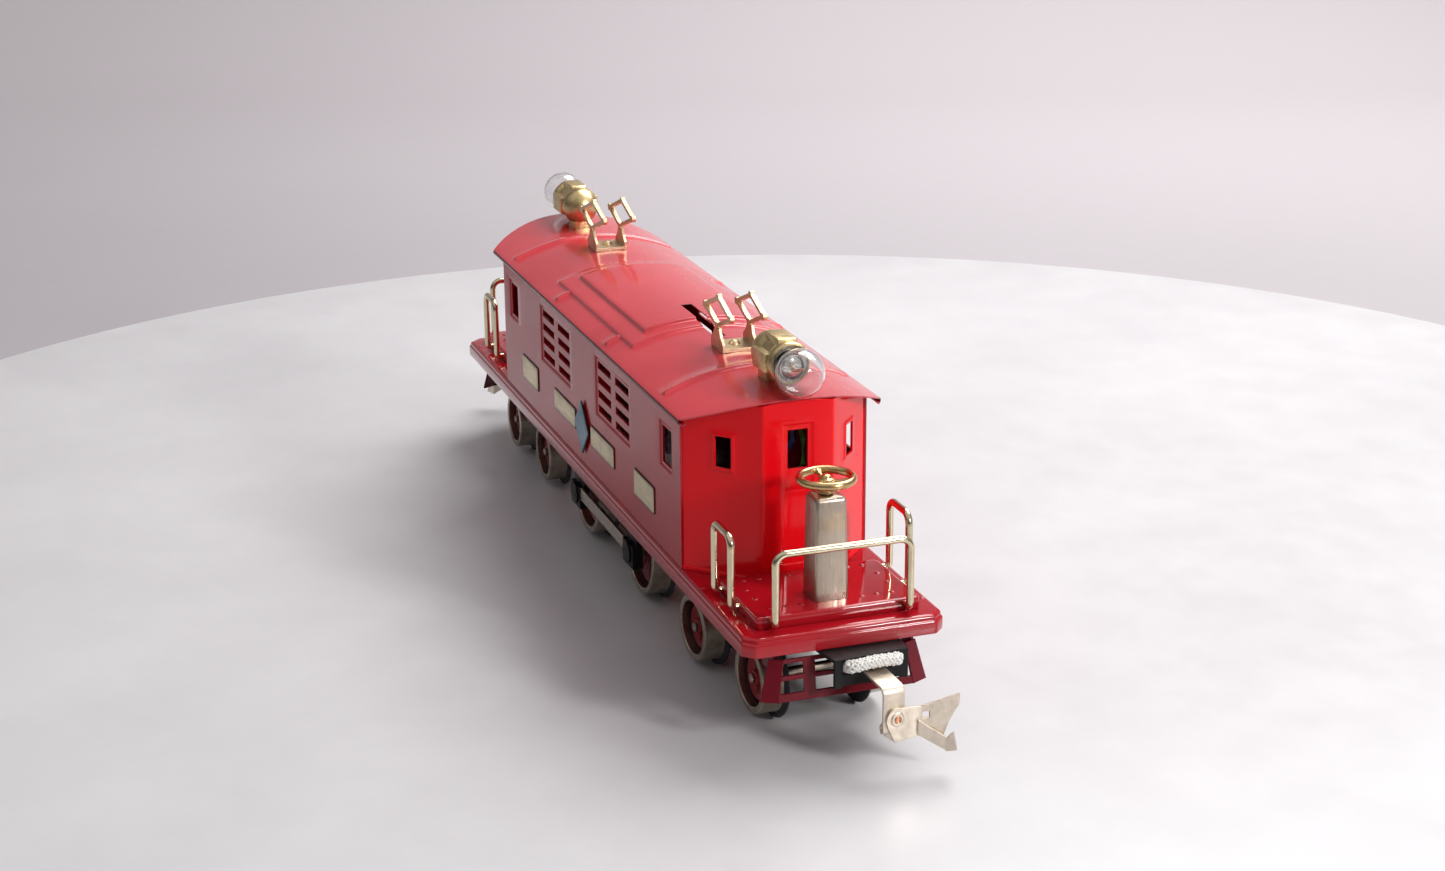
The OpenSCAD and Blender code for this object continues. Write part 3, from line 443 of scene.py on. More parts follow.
def dome(bm, at, radius, height, up=(0, 0, 1), mat=0):
    """Low rounded rivet head or punched dimple standing on a surface."""
    turn = Vector((0, 0, 1)).rotation_difference(Vector(up)).to_matrix()
    at = Vector(at)
    rings = []
    for k in range(5):
        a = pi / 2 * k / 4
        r, z = max(radius * cos(a), 0.001), height * sin(a)
        rings.append([at + turn @ Vector((x, y, z)) for x, y in oval(12, r, r)])
    loft(bm, rings, caps=(True, True), mat=mat)


def oval(steps, rx, ry, x=0, y=0):
    return [(x + rx * cos(tau * i / steps), y + ry * sin(tau * i / steps)) for i in range(steps)]


def arc(x, y, radius, degrees):
    return [(x + radius * cos(radians(a)), y + radius * sin(radians(a))) for a in degrees]


def corner(before, at, after, radius, steps):
    """Arc that rounds a corner and takes at most 45% of either side."""
    p = Vector(at)
    a, b = Vector(before) - p, Vector(after) - p
    half = a.angle(b) / 2
    cut = min(radius / tan(half), a.length * 0.45, b.length * 0.45)
    a.normalize()
    b.normalize()
    centre = p + (a + b).normalized() * (cut * tan(half) / sin(half))
    first, last = p + a * cut - centre, p + b * cut - centre
    whole = first.angle_signed(last)
    out = []
    for k in range(steps + 1):
        c, s = cos(-whole * k / steps), sin(-whole * k / steps)
        out.append((centre.x + first.x * c - first.y * s, centre.y + first.x * s + first.y * c))
    return out


def filleted(points, radius, steps=4):
    """Closed outline with every corner rounded."""
    out = []
    for i, p in enumerate(points):
        out += corner(points[i - 1], p, points[(i + 1) % len(points)], radius, steps)
    return out


def rect(x0, x1, y0, y1, radius, steps=4):
    return filleted([(x0, y0), (x1, y0), (x1, y1), (x0, y1)], radius, steps)


def off(u, v, *steps):
    """Points at the given steps from one point."""
    return [(u + a, v + b) for a, b in steps]


def ring_at(outline, z):
    return [(x, y, z) for x, y in outline]


def smooth_route(points, per):
    """Catmull-Rom curve through the points."""
    pts = [Vector(p) for p in points]
    pts = [2 * pts[0] - pts[1]] + pts + [2 * pts[-1] - pts[-2]]
    out = []
    for i in range(1, len(pts) - 2):
        a, b, c, d = pts[i - 1:i + 3]
        for t in [k / per for k in range(per)]:
            out.append(0.5 * (2 * b + (c - a) * t + (2 * a - 5 * b + 4 * c - d) * t * t
                              + (3 * b - a - 3 * c + d) * t ** 3))
    out.append(pts[-2])
    return out


def step(value, width):
    """0 below -width, 1 above width, smooth between."""
    t = min(1, max(0, (value + width) / (2 * width)))
    return t * t * (3 - 2 * t)


def raised(x, y, half_x, half_y, width=0.5):
    """1 inside a rectangle round the origin, 0 outside it."""
    return min(step(half_x - abs(x), width), step(half_y - abs(y), width))


def both(values):
    return [s * v for s in (-1, 1) for v in values]


def ruler(lo, hi, gap, exact, soft, width):
    """Grid lines: regular ones, lines that must be there, and close ones at each pressed edge."""
    keep = sorted({lo, hi, *[e for e in exact if lo < e < hi]})
    more = []
    for s in soft:
        more += [s + width * k for k in (-1.1, -0.6, -0.2, 0.2, 0.6, 1.1)]
    n = max(1, round((hi - lo) / gap))
    more += [lo + (hi - lo) * i / n for i in range(1, n)]
    for m in more:
        if lo < m < hi and min(abs(m - k) for k in keep) > 0.12:
            keep.append(m)
    return sorted(keep)


def pressed_sheet(bm, us, vs, point, relief, hole, thickness):
    """Sheet metal on a grid: point(u, v, h) places it, relief(u, v) presses it, hole(u, v) opens it."""
    solid = {(i, j) for i in range(len(us) - 1) for j in range(len(vs) - 1)
             if not hole((us[i] + us[i + 1]) / 2, (vs[j] + vs[j + 1]) / 2)}
    cache = {}

    def vert(i, j, inner):
        key = (i, j, inner)
        if key not in cache:
            h = relief(us[i], vs[j]) - (thickness if inner else 0)
            cache[key] = bm.verts.new(point(us[i], vs[j], h))
        return cache[key]

    for i, j in solid:
        corners = ((i, j), (i + 1, j), (i + 1, j + 1), (i, j + 1))
        bm.faces.new([vert(*c, False) for c in corners])
        bm.faces.new([vert(*c, True) for c in reversed(corners)])
        beside = ((i, j - 1), (i + 1, j), (i, j + 1), (i - 1, j))
        for (a, b), near in zip(zip(corners, corners[1:] + corners[:1]), beside):
            if near not in solid:
                bm.faces.new((vert(*b, False), vert(*a, False), vert(*a, True), vert(*b, True)))


def fill(bm, loops, z):
    """Flat face at a height, bounded by its first loop, with holes where the others are."""
    edges = []
    for loop in loops:
        ring = [bm.verts.new((x, y, z)) for x, y in loop]
        edges += [bm.edges.new((ring[i - 1], ring[i])) for i in range(len(ring))]
    bmesh.ops.triangle_fill(bm, use_beauty=True, use_dissolve=False, edges=edges)


FAR = spin(180)
ENDS = {"near": Matrix(), "far": FAR}
axle_way = Vector(joint["near_outer_axle_turn"]["axis"])
near_yaw = atan2(-axle_way.x, axle_way.y)
truck_x = pivot("truck_near_swivel").x
coupler_reach = abs(pivot("coupler_far_swing").x) - truck_x
near_swing = 2
TRUCKS = {"near": shift(truck_x) @ Matrix.Rotation(near_yaw, 4, "Z"), "far": FAR @ shift(truck_x)}
COUPLERS = {
    "near": TRUCKS["near"] @ shift(coupler_reach) @ spin(near_swing),
    "far": TRUCKS["far"] @ shift(coupler_reach),
}


def end_piece(name, end, bm, materials, node, crisp, body="chassis"):
    """Piece drawn for the near end and turned round for the far one."""
    piece(name + "_" + end, bm, materials, (node + "_" + end,), crisp, body, ENDS[end])


# heights and lengths shared by several pieces
deck_z = high("underframe").z
skirt_z = low("underframe").z
sill_x = high("underframe").x
sill_y = high("underframe").y
platform_z = deck_z + 4.0
body_half = high("side_wall_left").y
body_corner = high("side_wall_left").x
wall_top = high("side_wall_left").z
roof_half = high("roof").y
roof_tip = high("roof").x
eave_z = low("roof").z + 2
crown_z = 100.9
rise = crown_z - eave_z
arch_r = (roof_half ** 2 + rise ** 2) / (2 * rise)
arch_z = crown_z - arch_r
sheet = 0.8


# ---------- underframe and platforms ----------

def sill_outline(out, soft=1.4):
    """Footplate edge with cut corners, moved out or in by a distance."""
    x, y = sill_x - 0.45 + out, sill_y - 0.45 + out
    c = 3.7 - 0.586 * out
    return filleted([(x - c, -y), (x, -y + c), (x, y - c), (x - c, y), (-x + c, y), (-x, y - c), (-x, -y + c),
                     (-x + c, -y)], soft + max(out, -1))


def make_underframe():
    bm = bmesh.new()
    z, under, hole_r, seat_z = deck_z, deck_z - sheet, 2.05, 33.7
    edge = off(0, z, (-1.5, 0), (-0.95, -0.04), (-0.5, -0.2), (-0.16, -0.52), (0, -0.95), (0, -1.45),
               (0.05, -1.72), (0.2, -1.9), (0.38, -2.08), (0.45, -2.4))
    edge += off(0, skirt_z, (0.45, 0.5), (0.36, 0.12), (0.1, 0), (-0.15, 0.12), (-0.3, 0.5))
    edge += off(0, z, (-0.3, -2.4), (-0.8, -1.4), (-1.5, -sheet))
    loft(bm, [ring_at(sill_outline(o), h) for o, h in edge])
    gap_x, gap_y = 48, 16
    gap = [(gap_x, -gap_y), (gap_x, gap_y), (-gap_x, gap_y), (-gap_x, -gap_y)]
    holes = [oval(16, hole_r, hole_r, s * truck_x) for s in (-1, 1)]
    for h in (z, under):
        fill(bm, [sill_outline(-1.5), gap] + holes, h)
    for hole in [gap] + holes:
        loft(bm, [ring_at(hole, z), ring_at(hole, under)])
    for s in (-1, 1):
        bush = [(6, under), (6, seat_z + 0.4), (5.6, seat_z), (hole_r, seat_z), (hole_r, under)]
        turned(bm, bush, "Z", (s * truck_x, 0, 0), 24, wrap=True)
        for t in (-1, 1):
            for x in (131.5, 146.5, 163):
                dome(bm, (s * x, t * 30.9, z - 0.02), 0.85, 0.35)
    piece("footplate", bm, MAROON, ("underframe",), 50)


def make_platform(end):
    bm = bmesh.new()
    x0, x1, half = low("platform_near").x, high("platform_near").x, high("platform_near").y
    top, foot = platform_z, deck_z + 0.03

    def outline(out):
        return rect(x0 - out, x1 + out, -half - out, half + out, 1.6)

    edge = off(0, top, (-1.2, 0), (-0.72, -0.05), (-0.34, -0.24), (-0.1, -0.55), (0, -1.0))
    edge += off(0, foot, (0, 0.3), (-0.2, 0), (-0.6, 0), (-0.8, 0.3))
    edge += off(0, top, (-0.9, -1.1), (-1.2, -sheet))
    loft(bm, [ring_at(outline(o), z) for o, z in edge])
    for h in (top, top - sheet):
        fill(bm, [outline(-1.2)], h)
    inner, outer = x0 + 4, x1 - 6.5
    rivets = [(inner, y) for y in (5, 10, 15, 20)] + [(outer, y) for y in (10, 15, 20)]
    for s in (-1, 1):
        for x, y in rivets + [(x0 + 12, 22), (x0 + 20, 22)]:
            dome(bm, (x, s * y, top - 0.03), 0.95, 0.42)
    end_piece("platform_deck", end, bm, MAROON, "platform", 50)


# ---------- body sheets ----------

# openings of one body side, and the pressed borders round them
window_half = 4.65
window_z = (70.4, 83.0)
window_border = 1.3
side_window_x = 97.8
slot_rows = (66.6, 72.0, 77.3, 82.6)
slot_half = (7.85, 1.35)
slot_off = 10.6
louvre_x = 37.0
louvre_half = 20
louvre_z = (slot_rows[0] - 2.7, slot_rows[-1] + 2.7)


def make_side(name, turn):
    bm = bmesh.new()
    press = 0.55
    framed_half = window_half + window_border
    framed_z = (window_z[0] - window_border, window_z[1] + window_border)
    xs_exact, zs_exact = [], list(window_z)
    xs_soft, zs_soft = [], [*framed_z, *louvre_z, deck_z + 1.4]
    for s in (-1, 1):
        window, louvre = s * side_window_x, s * louvre_x
        xs_exact += [window - window_half, window + window_half]
        xs_soft += [window - framed_half, window + framed_half, louvre - louvre_half, louvre + louvre_half]
        for middle in (louvre - slot_off, louvre + slot_off):
            xs_exact += [middle - slot_half[0], middle + slot_half[0]]
    for z in slot_rows:
        zs_exact += [z - slot_half[1], z + slot_half[1]]
    xs = ruler(-body_corner, body_corner, 9, xs_exact, xs_soft, press)
    zs = ruler(deck_z + 0.02, wall_top, 7, zs_exact, zs_soft, press)

    def panel(off, z, half, span_z):
        return raised(off, z - sum(span_z) / 2, half, (span_z[1] - span_z[0]) / 2, press)

    def relief(x, z):
        a = abs(x)
        return -0.5 * max(panel(a - side_window_x, z, framed_half, framed_z),
                          panel(a - louvre_x, z, louvre_half, louvre_z))

    def hole(x, z):
        a = abs(x)
        if abs(a - side_window_x) < window_half and window_z[0] < z < window_z[1]:
            return True
        in_slot = abs(abs(a - louvre_x) - slot_off) < slot_half[0]
        return in_slot and any(abs(z - r) < slot_half[1] for r in slot_rows)

    pressed_sheet(bm, xs, zs, lambda x, z, h: (x, body_half + h, z), relief, hole, sheet)
    # the sides take the darker copy of the red: painted shade
    piece(name + "_panel", bm, SIDE_RED_SHADED, (name,), 60, place=turn)


def bent_path(points, radii):
    """Open path with rounded corners: list of (distance from its middle, x, y, normal x, normal y)."""
    run = [Vector(points[0])]
    for i, radius in enumerate(radii, 1):
        run += [Vector(p) for p in corner(points[i - 1], points[i], points[i + 1], radius, 6)]
    run.append(Vector(points[-1]))
    out, total = [], 0
    for i, p in enumerate(run):
        if i:
            total += (p - run[i - 1]).length
        d = (run[min(i + 1, len(run) - 1)] - run[max(i - 1, 0)]).normalized()
        out.append((total, p.x, p.y, d.y, -d.x))
    return [(t - total / 2, *rest) for t, *rest in out]


def path_at(path, s):
    for a, b in zip(path, path[1:]):
        if s <= b[0]:
            t = (s - a[0]) / max(b[0] - a[0], 1e-9)
            return [a[i] + (b[i] - a[i]) * t for i in range(1, 5)]
    return list(path[-1][1:])


def make_end(end):
    """Three-sided cab end: a door in the middle and a window in each slanted side."""
    bm = bmesh.new()
    door_x = high("end_wall_near").x
    c, y_out, y_bay = body_corner, body_half - sheet, 11.75
    path = bent_path([(c - 1.4, -y_out), (c, -y_out), (door_x, -y_bay), (door_x, y_bay), (c, y_out),
                      (c - 1.4, y_out)], (0.5, 1.3, 2.8, 0.5))
    win_s = y_bay + hypot(door_x - c, y_out - y_bay) / 2 - 0.4
    win_half, win_z, border = 2.9, (76.6, 87.0), 1.1
    door_half, door_z, glass_half, glass_z = 4.9, (45.5, 92.0), 3.4, (77.4, 90.2)
    press, rail_z, flat_top, grid_top = 0.4, 70, 91, 100
    ss_exact = both((win_s - win_half, win_s + win_half, glass_half))
    ss_soft = both((door_half, win_s - win_half - border, win_s + win_half + border))
    zs_soft = [*door_z, rail_z, win_z[0] - border, win_z[1] + border, deck_z + 1.4]
    ss = ruler(path[0][0], path[-1][0], 5, ss_exact + [p[0] for p in path[1:-1]], ss_soft, press)
    zs = ruler(deck_z + 0.02, grid_top, 6, [*win_z, *glass_z], zs_soft, press)

    def relief(s, z):
        door = raised(s, z - sum(door_z) / 2, door_half, (door_z[1] - door_z[0]) / 2, press)
        rail = exp(-((z - rail_z) / 0.5) ** 2) * step(door_half - 0.8 - abs(s), press)
        ring = raised(abs(s) - win_s, z - sum(win_z) / 2, win_half + border, 6.3, press)
        foot = step(deck_z + 1.3 - z, press) * step(abs(s) - 0.1, 0.1)
        return -0.35 * door - 0.3 * rail + 0.35 * ring + 0.5 * foot

    def hole(s, z):
        if abs(s) < glass_half and glass_z[0] < z < glass_z[1]:
            return True
        return abs(abs(s) - win_s) < win_half and win_z[0] < z < win_z[1]

    def point(s, z, h):
        x, y, nx, ny = path_at(path, s)
        top = arch_z + sqrt((arch_r - sheet - 0.15) ** 2 - y * y)
        if z > flat_top:
            z = flat_top + (z - flat_top) * (top - flat_top) / (grid_top - flat_top)
        return (x + nx * h, y + ny * h, z)

    pressed_sheet(bm, ss, zs, point, relief, hole, sheet)
    # the ends take the lighter copy of the red: painted light
    end_piece("end_panel", end, bm, END_RED_LIT, "end_wall", 60)


# ---------- roof ----------

def make_roof():
    """Arched sheet with bowed ends, a curled hem along both eaves, pressed panel and ribs, and one slot."""
    bm = bmesh.new()
    tip_sag = 17.6
    tip_r = (roof_half ** 2 + tip_sag ** 2) / (2 * tip_sag)
    tip_x = roof_tip - tip_r
    lip_r = 1.05
    tilt = asin((roof_half - lip_r) / arch_r)
    y0 = roof_half - lip_r * (1 - sin(tilt))
    tilt = asin(y0 / arch_r)
    hinge_y, hinge_z = y0 - lip_r * sin(tilt), arch_z + (arch_r - lip_r) * cos(tilt)
    curl = lip_r * (radians(265) - tilt)
    slot_x, slot_y = (23.0, 60.0), 1.9
    rib_x, rib_y, straight = 95.5, 31.5, 100
    outer, inner = (47, 27.1), (40, 20.4)

    def cross(v):
        """Y, Z and outward normal at a distance across the sheet."""
        a = abs(v)
        s = 1 if v >= 0 else -1
        if a <= y0:
            t = asin(a / arch_r)
            return s * a, arch_z + arch_r * cos(t), s * sin(t), cos(t)
        t = tilt + (a - y0) / lip_r
        return s * (hinge_y + lip_r * sin(t)), hinge_z + lip_r * cos(t), s * sin(t), cos(t)

    us = ruler(-roof_tip, roof_tip, 7, [*slot_x, -straight, straight],
               both((outer[0], inner[0], 30.7, 33.3, rib_x - 1.1, rib_x + 1.1)) + both([134.6]), 0.5)
    vs = ruler(-y0 - curl, y0 + curl, 3.4, both([slot_y] + [y0 + curl * k / 10 for k in range(10)]),
               both((outer[1], inner[1], rib_y, 32.2)), 0.5)

    def relief(u, v):
        h = 0.75 * raised(u, v, *outer) + 0.95 * raised(u, v, *inner)
        h = max(h, 0.7 * raised(abs(u) - rib_x, v, 1.1, rib_y, 0.6))
        return max(h, 0.75 * raised(abs(u) - 32, abs(v) - 29.6, 1.3, 2.6))

    def hole(u, v):
        return slot_x[0] < u < slot_x[1] and abs(v) < slot_y

    def point(u, v, h):
        y, z, ny, nz = cross(v)
        x = u
        if abs(u) > straight:
            end = tip_x + sqrt(tip_r ** 2 - y * y)
            x = copysign(straight + (abs(u) - straight) * (end - straight) / (roof_tip - straight), u)
        return (x, y + ny * h, z + nz * h)

    pressed_sheet(bm, us, vs, point, relief, hole, 0.45)
    for f in bm.faces:
        at = f.calc_center_median()
        # the slot's wall faces take the near black as painted shade
        if slot_x[0] - 0.01 < at.x < slot_x[1] + 0.01 and abs(at.y) < slot_y + 0.01:
            f.material_index = 1
        # the hem faces take the darker red as painted shade
        if abs(at.y) > y0 - 0.1 and at.z < hinge_z + 0.75 * lip_r:
            f.material_index = 2
    piece("roof_sheet", bm, (ROOF_RED, SHADE, HEM_SHADE_RED), ("roof",), 60)


# ---------- plates ----------

def make_plates():
    """Blank bordered plates and a plain lozenge on each side."""
    plates, badges = bmesh.new(), bmesh.new()
    for turn in (Matrix(), FAR):
        out = turn @ shift(0, -body_half, 53.9) @ spin(90, "X")
        for x, half_x, half_z, dz in ((-74, 11.35, 4.75, -0.15), (74, 11.35, 4.75, -0.15),
                                      (-24.5, 14.5, 3.95, -0.05), (24.5, 14.5, 3.95, -0.05)):
            base = rect(x - half_x, x + half_x, dz - half_z, dz + half_z, 0.5, 2)

            def inset(by_x, by_z):
                kx, kz = (half_x - by_x) / half_x, (half_z - by_z) / half_z
                return [(x + (px - x) * kx, dz + (pz - dz) * kz) for px, pz in base]

            slab(plates, base, 0.34, out, 1)
            slab(plates, inset(0.55, 0.55), 0.5, out)
            field = [[out @ Vector((px, pz, h)) for px, pz in inset(1.5, 1.35)] for h in (0.49, 0.56)]
            loft(plates, field, caps=(True, True))
        lozenge = filleted([(-9.3, 0), (0, -10.3), (9.3, 0), (0, 10.3)], 0.5, 2)
        lift = out @ shift(0, 0, 0.52)
        slab(badges, lozenge, 0.4, lift, 1)
        slab(badges, [(px * 0.93, pz * 0.93) for px, pz in lozenge], 0.58, lift)
    piece("plates", plates, (PLATE, PLATE_EDGE), ("side_plates",), 30)
    piece("lozenges", badges, (BLUE, PLATE_EDGE), ("badges",), 30)


# ---------- lamps ----------

def make_lamp(end, inside):
    """Brass case with three boxes and its glass globe; draws what the globe holds into another mesh."""
    z = 109.5
    globe_z = (low("bulb_" + end).z + high("bulb_" + end).z) / 2
    globe_r = (high("bulb_near").z - low("bulb_near").z) / 2
    globe_x = high("bulb_near").x - globe_r
    dome_x, dome_r, skin_r, case_r, bezel_x = 112.0, 7.2, 6.2, 6.1, 125.0
    box_half, box_out = 3.2, 7.7
    bm = bmesh.new()
    bowl = [pi * a / 24 for a in range(15)]
    shell = [(dome_r * sin(a), dome_x - dome_r * cos(a)) for a in bowl]
    shell[0] = (0.01, shell[0][1])
    shell += [(case_r + 0.1, dome_x + 3.6), (case_r, dome_x + 4.2), (case_r, bezel_x - 2.0)]
    shell += off(0, bezel_x, (6.5, -1.8), (6.75, -1.3), (6.5, -0.8), (6.3, -0.5), (6.5, -0.15), (6.95, 0.1),
                 (7.15, 0.6), (7.2, 1.5), (7.1, 2.2), (6.8, 2.8), (6.45, 3.0), (6.15, 2.8), (5.9, 2.0),
                 (5.3, 1.1), (5.1, 0.5))
    shell += [(5.1, dome_x + 3.4)] + [(skin_r * sin(a), dome_x - skin_r * cos(a)) for a in reversed(bowl)]
    shell[-1] = (0.01, shell[-1][1])
    turned(bm, shell, "X", (0, 0, z), 56)
    for a in (-90, 0, 90):
        way = shift(0, 0, z) @ spin(a, "X")
        rows = []
        for h, grow in ((4.4, 0), (box_out - 0.35, 0), (box_out - 0.1, -0.1), (box_out, -0.35)):
            w = box_half + grow
            box = rect(dome_x + 1.5 - grow, bezel_x - 0.3 + grow, -w, w, 0.25, 3)
            rows.append([way @ Vector((x, y, h)) for x, y in box])
        loft(bm, rows, caps=(True, True))
    foot = rect(dome_x - 4, dome_x + 4, -4, 4, 0.8, 3)
    saddle = [(x, y, crown_z + 0.06 - y * y * 0.0068) for x, y in foot]
    loft(bm, [saddle, ring_at(foot, z - 5.6)], caps=(True, True))
    end_piece("lamp_case", end, bm, BRASS, "lamp", 40)

    bm = bmesh.new()
    neck, socket_x = 4.2, 122.6
    first = asin(neck / globe_r)
    outer = [(neck, socket_x), (neck, globe_x - globe_r * cos(first) - 0.5)]
    inner = [(neck - 0.45, x) for r, x in outer]
    for k in range(23):
        a = first + (pi - first) * k / 22
        for ring, r in ((outer, globe_r), (inner, globe_r - 0.4)):
            ring.append((max(0.01, r * sin(a)), globe_x - r * cos(a)))
    turned(bm, outer + inner[::-1], "X", (0, 0, globe_z), 48, wrap=True)
    end_piece("globe", end, bm, GLASS, "bulb", 60)

    holder = off(0, dome_x, (0.01, 1), (5.05, 1), (5.05, 2.1), (3.6, 2.2), (3.6, 10.1), (2.9, 10.2),
                 (2.9, 14.0), (2.5, 14.6), (1.2, 14.9), (0.01, 15.0))
    cap = [(0.01, 127.3), (3.4, 127.5), (3.6, 128.0), (3.2, 128.4), (1.8, 128.8), (0.01, 129.0)]
    reflector = off(0, bezel_x, (4.3, 1.2), (5.1, 1.3), (5.75, 1.9), (5.8, 1.6), (5.2, 0.9), (4.3, 0.9))
    turned(inside, holder, "X", (0, 0, z), 32)
    turned(inside, cap, "X", (0, 0, globe_z), 32)
    turned(inside, reflector, "X", (0, 0, z), 48, wrap=True)
    coil_x, coil_r, coil_half, coil_z, turns, steps = 134.0, 0.35, 2.0, globe_z + 0.4, 9, 90
    for s in (-1, 1):
        lead = [(128.6, s, globe_z), (131, s * 1.3, globe_z + 0.6), (coil_x, s * coil_half, coil_z)]
        tube(inside, lead, 0.22, 8)
    coil = []
    for k in range(steps + 1):
        t = tau * turns * k / steps
        y = 2 * coil_half * k / steps - coil_half
        coil.append((coil_x + coil_r * cos(t), y, coil_z + coil_r * sin(t)))
    tube(inside, coil, 0.16, 6, mat=1)
    dome(inside, (128.9, 0, globe_z), 0.9, 1.6, (1, 0, 0), mat=2)


def make_lamps():
    inside = bmesh.new()
    for end in ENDS:
        make_lamp(end, inside)
        # two half turns bring the near lamp's inside back, one takes the far lamp's to its end
        inside.transform(FAR)
    piece("lamp_inside", inside, (SILVER, FILAMENT, FRAME_BRASS), ("bulb_sockets",), 40)


# ---------- pedestal and handwheel ----------

def make_pedestal(end):
    bm = bmesh.new()
    x = pivot("handwheel_near_turn").x
    top = high("pedestal_near").z
    foot, foot_z, narrowing, stages, bore_r = 5.6, platform_z + 0.6, 0.6, 8, 1.56

    def square(half, z, soft=1.0):
        return [(x + a, b, z) for a, b in rect(-half, half, -half, half, soft)]

    rows = [square(foot, platform_z + 0.02, 1.1), square(foot, foot_z, 1.1)]
    for t in range(1, stages + 1):
        rows.append(square(foot - narrowing * t / stages, foot_z + (top - 1.9 - platform_z) * t / stages))
    rows += [square(4.85, top - 0.75), square(4.5, top - 0.25, 0.9), square(3.9, top, 0.8)]
    loft(bm, rows, caps=(True, False))
    hole = oval(20, bore_r, bore_r, x)
    fill(bm, [[(p[0], p[1]) for p in rows[-1]], hole], top)
    loft(bm, [ring_at(hole, top), ring_at(hole, top - 12)], caps=(False, True))
    end_piece("brake_stand", end, bm, BRUSHED, "pedestal", 32)


def make_handwheel(end):
    bm = bmesh.new()
    x = pivot("handwheel_near_turn").x
    rim_z, r, stem_z = 82.0, high("handwheel_near").x - x, low("handwheel_near").z
    turned(bm, oval(16, 1.15, 1.3, r - 1.15, rim_z), "Z", (x, 0, 0), 64, wrap=True)
    for a in (60, 180, 300):
        way = shift(x) @ spin(a)
        arm = [(1.2, -1.2), (3, -1.0), (4.8, -0.6), (6.4, -0.25), (r - 1.4, -0.1)]
        tube(bm, [way @ Vector((along, 0, rim_z + h)) for along, h in arm], [1.15, 0.95, 0.85, 0.95, 1.35],
             squash=0.75, start_side=way.to_3x3() @ Vector((0, 1, 0)))
    hub = off(0, rim_z, (0.01, 1.25), (0.9, 1.2), (1.5, 0.8), (1.7, 0.2), (2.3, -0.1), (2.5, -0.7),
              (2.2, -1.5), (1.5, -1.9), (1.5, -3.5), (2.3, -3.6), (2.5, -3.9), (2.5, -4.4), (2.2, -4.65),
              (1.5, -4.7))
    turned(bm, hub + [(1.5, stem_z), (0.01, stem_z)], "Z", (x, 0, 0), 32)
    end_piece("brake_wheel", end, bm, WHEEL_BRASS, "handwheel", 40, "handwheel_" + end)


# ---------- wheels ----------

back = 14.0
tread_face = 22.3
# tread, flange and axle radii in mm, and number of spokes
TRUCK_WHEEL = (11.5, 13.8, 1.55, 6)
DRIVER = (17.0, 19.0, 2.0, 8)


def make_wheelset(name, body, centre, place, sizes, stands_for):
    x, z = centre
    r, flange, axle_r, spokes = sizes
    bm, web = bmesh.new(), bmesh.new()
    rim_in, boss_r, face = r - 2.4, r * 0.24, tread_face - 1.9
    tyre = [(rim_in, back)]
    tyre += off(flange, back, (-0.5, 0), (-0.15, 0.12), (0, 0.45), (-0.12, 0.8), (-0.9, 1.1))
    tyre += off(r, back, (0.2, 1.35), (0, 1.7)) + off(r, tread_face, (-0.12, -0.7), (-0.25, -0.25), (-0.6, 0))
    tyre += off(rim_in, tread_face, (0.25, 0), (0, -0.3))
    hub = off(0, tread_face, (0.01, -0.35), (axle_r * 0.55, -0.35), (axle_r, -0.75), (axle_r, -3))
    # dished centre with a rolled lip, inside a recess painted near black as shade
    recess = [(rim_in + 0.02, back + 0.4)]
    recess += off(rim_in, face, (0.02, -0.4), (-0.4, -0.9), (-0.5, -2.9), (-2.4, -3.0))
    recess += [(rim_in - 2.4, back + 0.4)]
    dish = off(axle_r, face, (0, 0.1), (0.1, 0.4))
    dish += off(boss_r, face, (-0.5, 0.3), (0, -0.3), (0.3, -1.3), (1.0, -1.75))
    dish += off(rim_in, face, (-3.0, -1.6), (-2.2, -1.0), (-1.7, -0.85), (-1.45, -1.1), (-1.4, -2.95),
                (-2.3, -3.1))
    dish += [(axle_r, face - 3.3)]
    spoke = (boss_r - 0.2, boss_r + 0.8, (boss_r + rim_in) / 2, rim_in - 2.9, rim_in - 2.0)
    for s in (-1, 1):

        def both_sides(mesh, profile, steps=96, wrap=True, mat=0):
            turned(mesh, [(a, s * b) for a, b in profile], "Y", (x, 0, z), steps, wrap=wrap, mat=mat)

        both_sides(bm, tyre)
        both_sides(bm, hub, 24, False)
        both_sides(web, recess, mat=1)
        both_sides(web, dish)
        for k in range(spokes):
            a = tau * (k + 0.25) / spokes
            d = Vector((cos(a), 0, sin(a)))
            arm = [Vector((x, s * (face - 1.62), z)) + d * q for q in spoke]
            tube(web, arm, [r * 0.055 * q for q in (1.2, 0.95, 0.85, 0.95, 1.2)], 10, squash=0.8,
                 start_side=d.cross(Vector((0, 1, 0))))
    turned(bm, [(axle_r, -back - 0.5), (axle_r, back + 0.5)], "Y", (x, 0, z), 24, caps=(True, True))
    # the tyre's inner face and flange take the near-black metal as painted shade
    for f in bm.faces:
        away = f.calc_center_median() - Vector((x, 0, z))
        if abs(away.y) < back + 1.4 and hypot(away.x, away.z) > axle_r + 1:
            f.material_index = 1
    piece(name + "_tyres", bm, (TYRE, FLANGE_SHADE), stands_for[:1], 30, body, place)
    piece(name + "_spokes", web, (WHEEL_RED, RECESS_SHADE_RED), stands_for[1:], 40, body, place)


# ---------- couplers and cord ----------

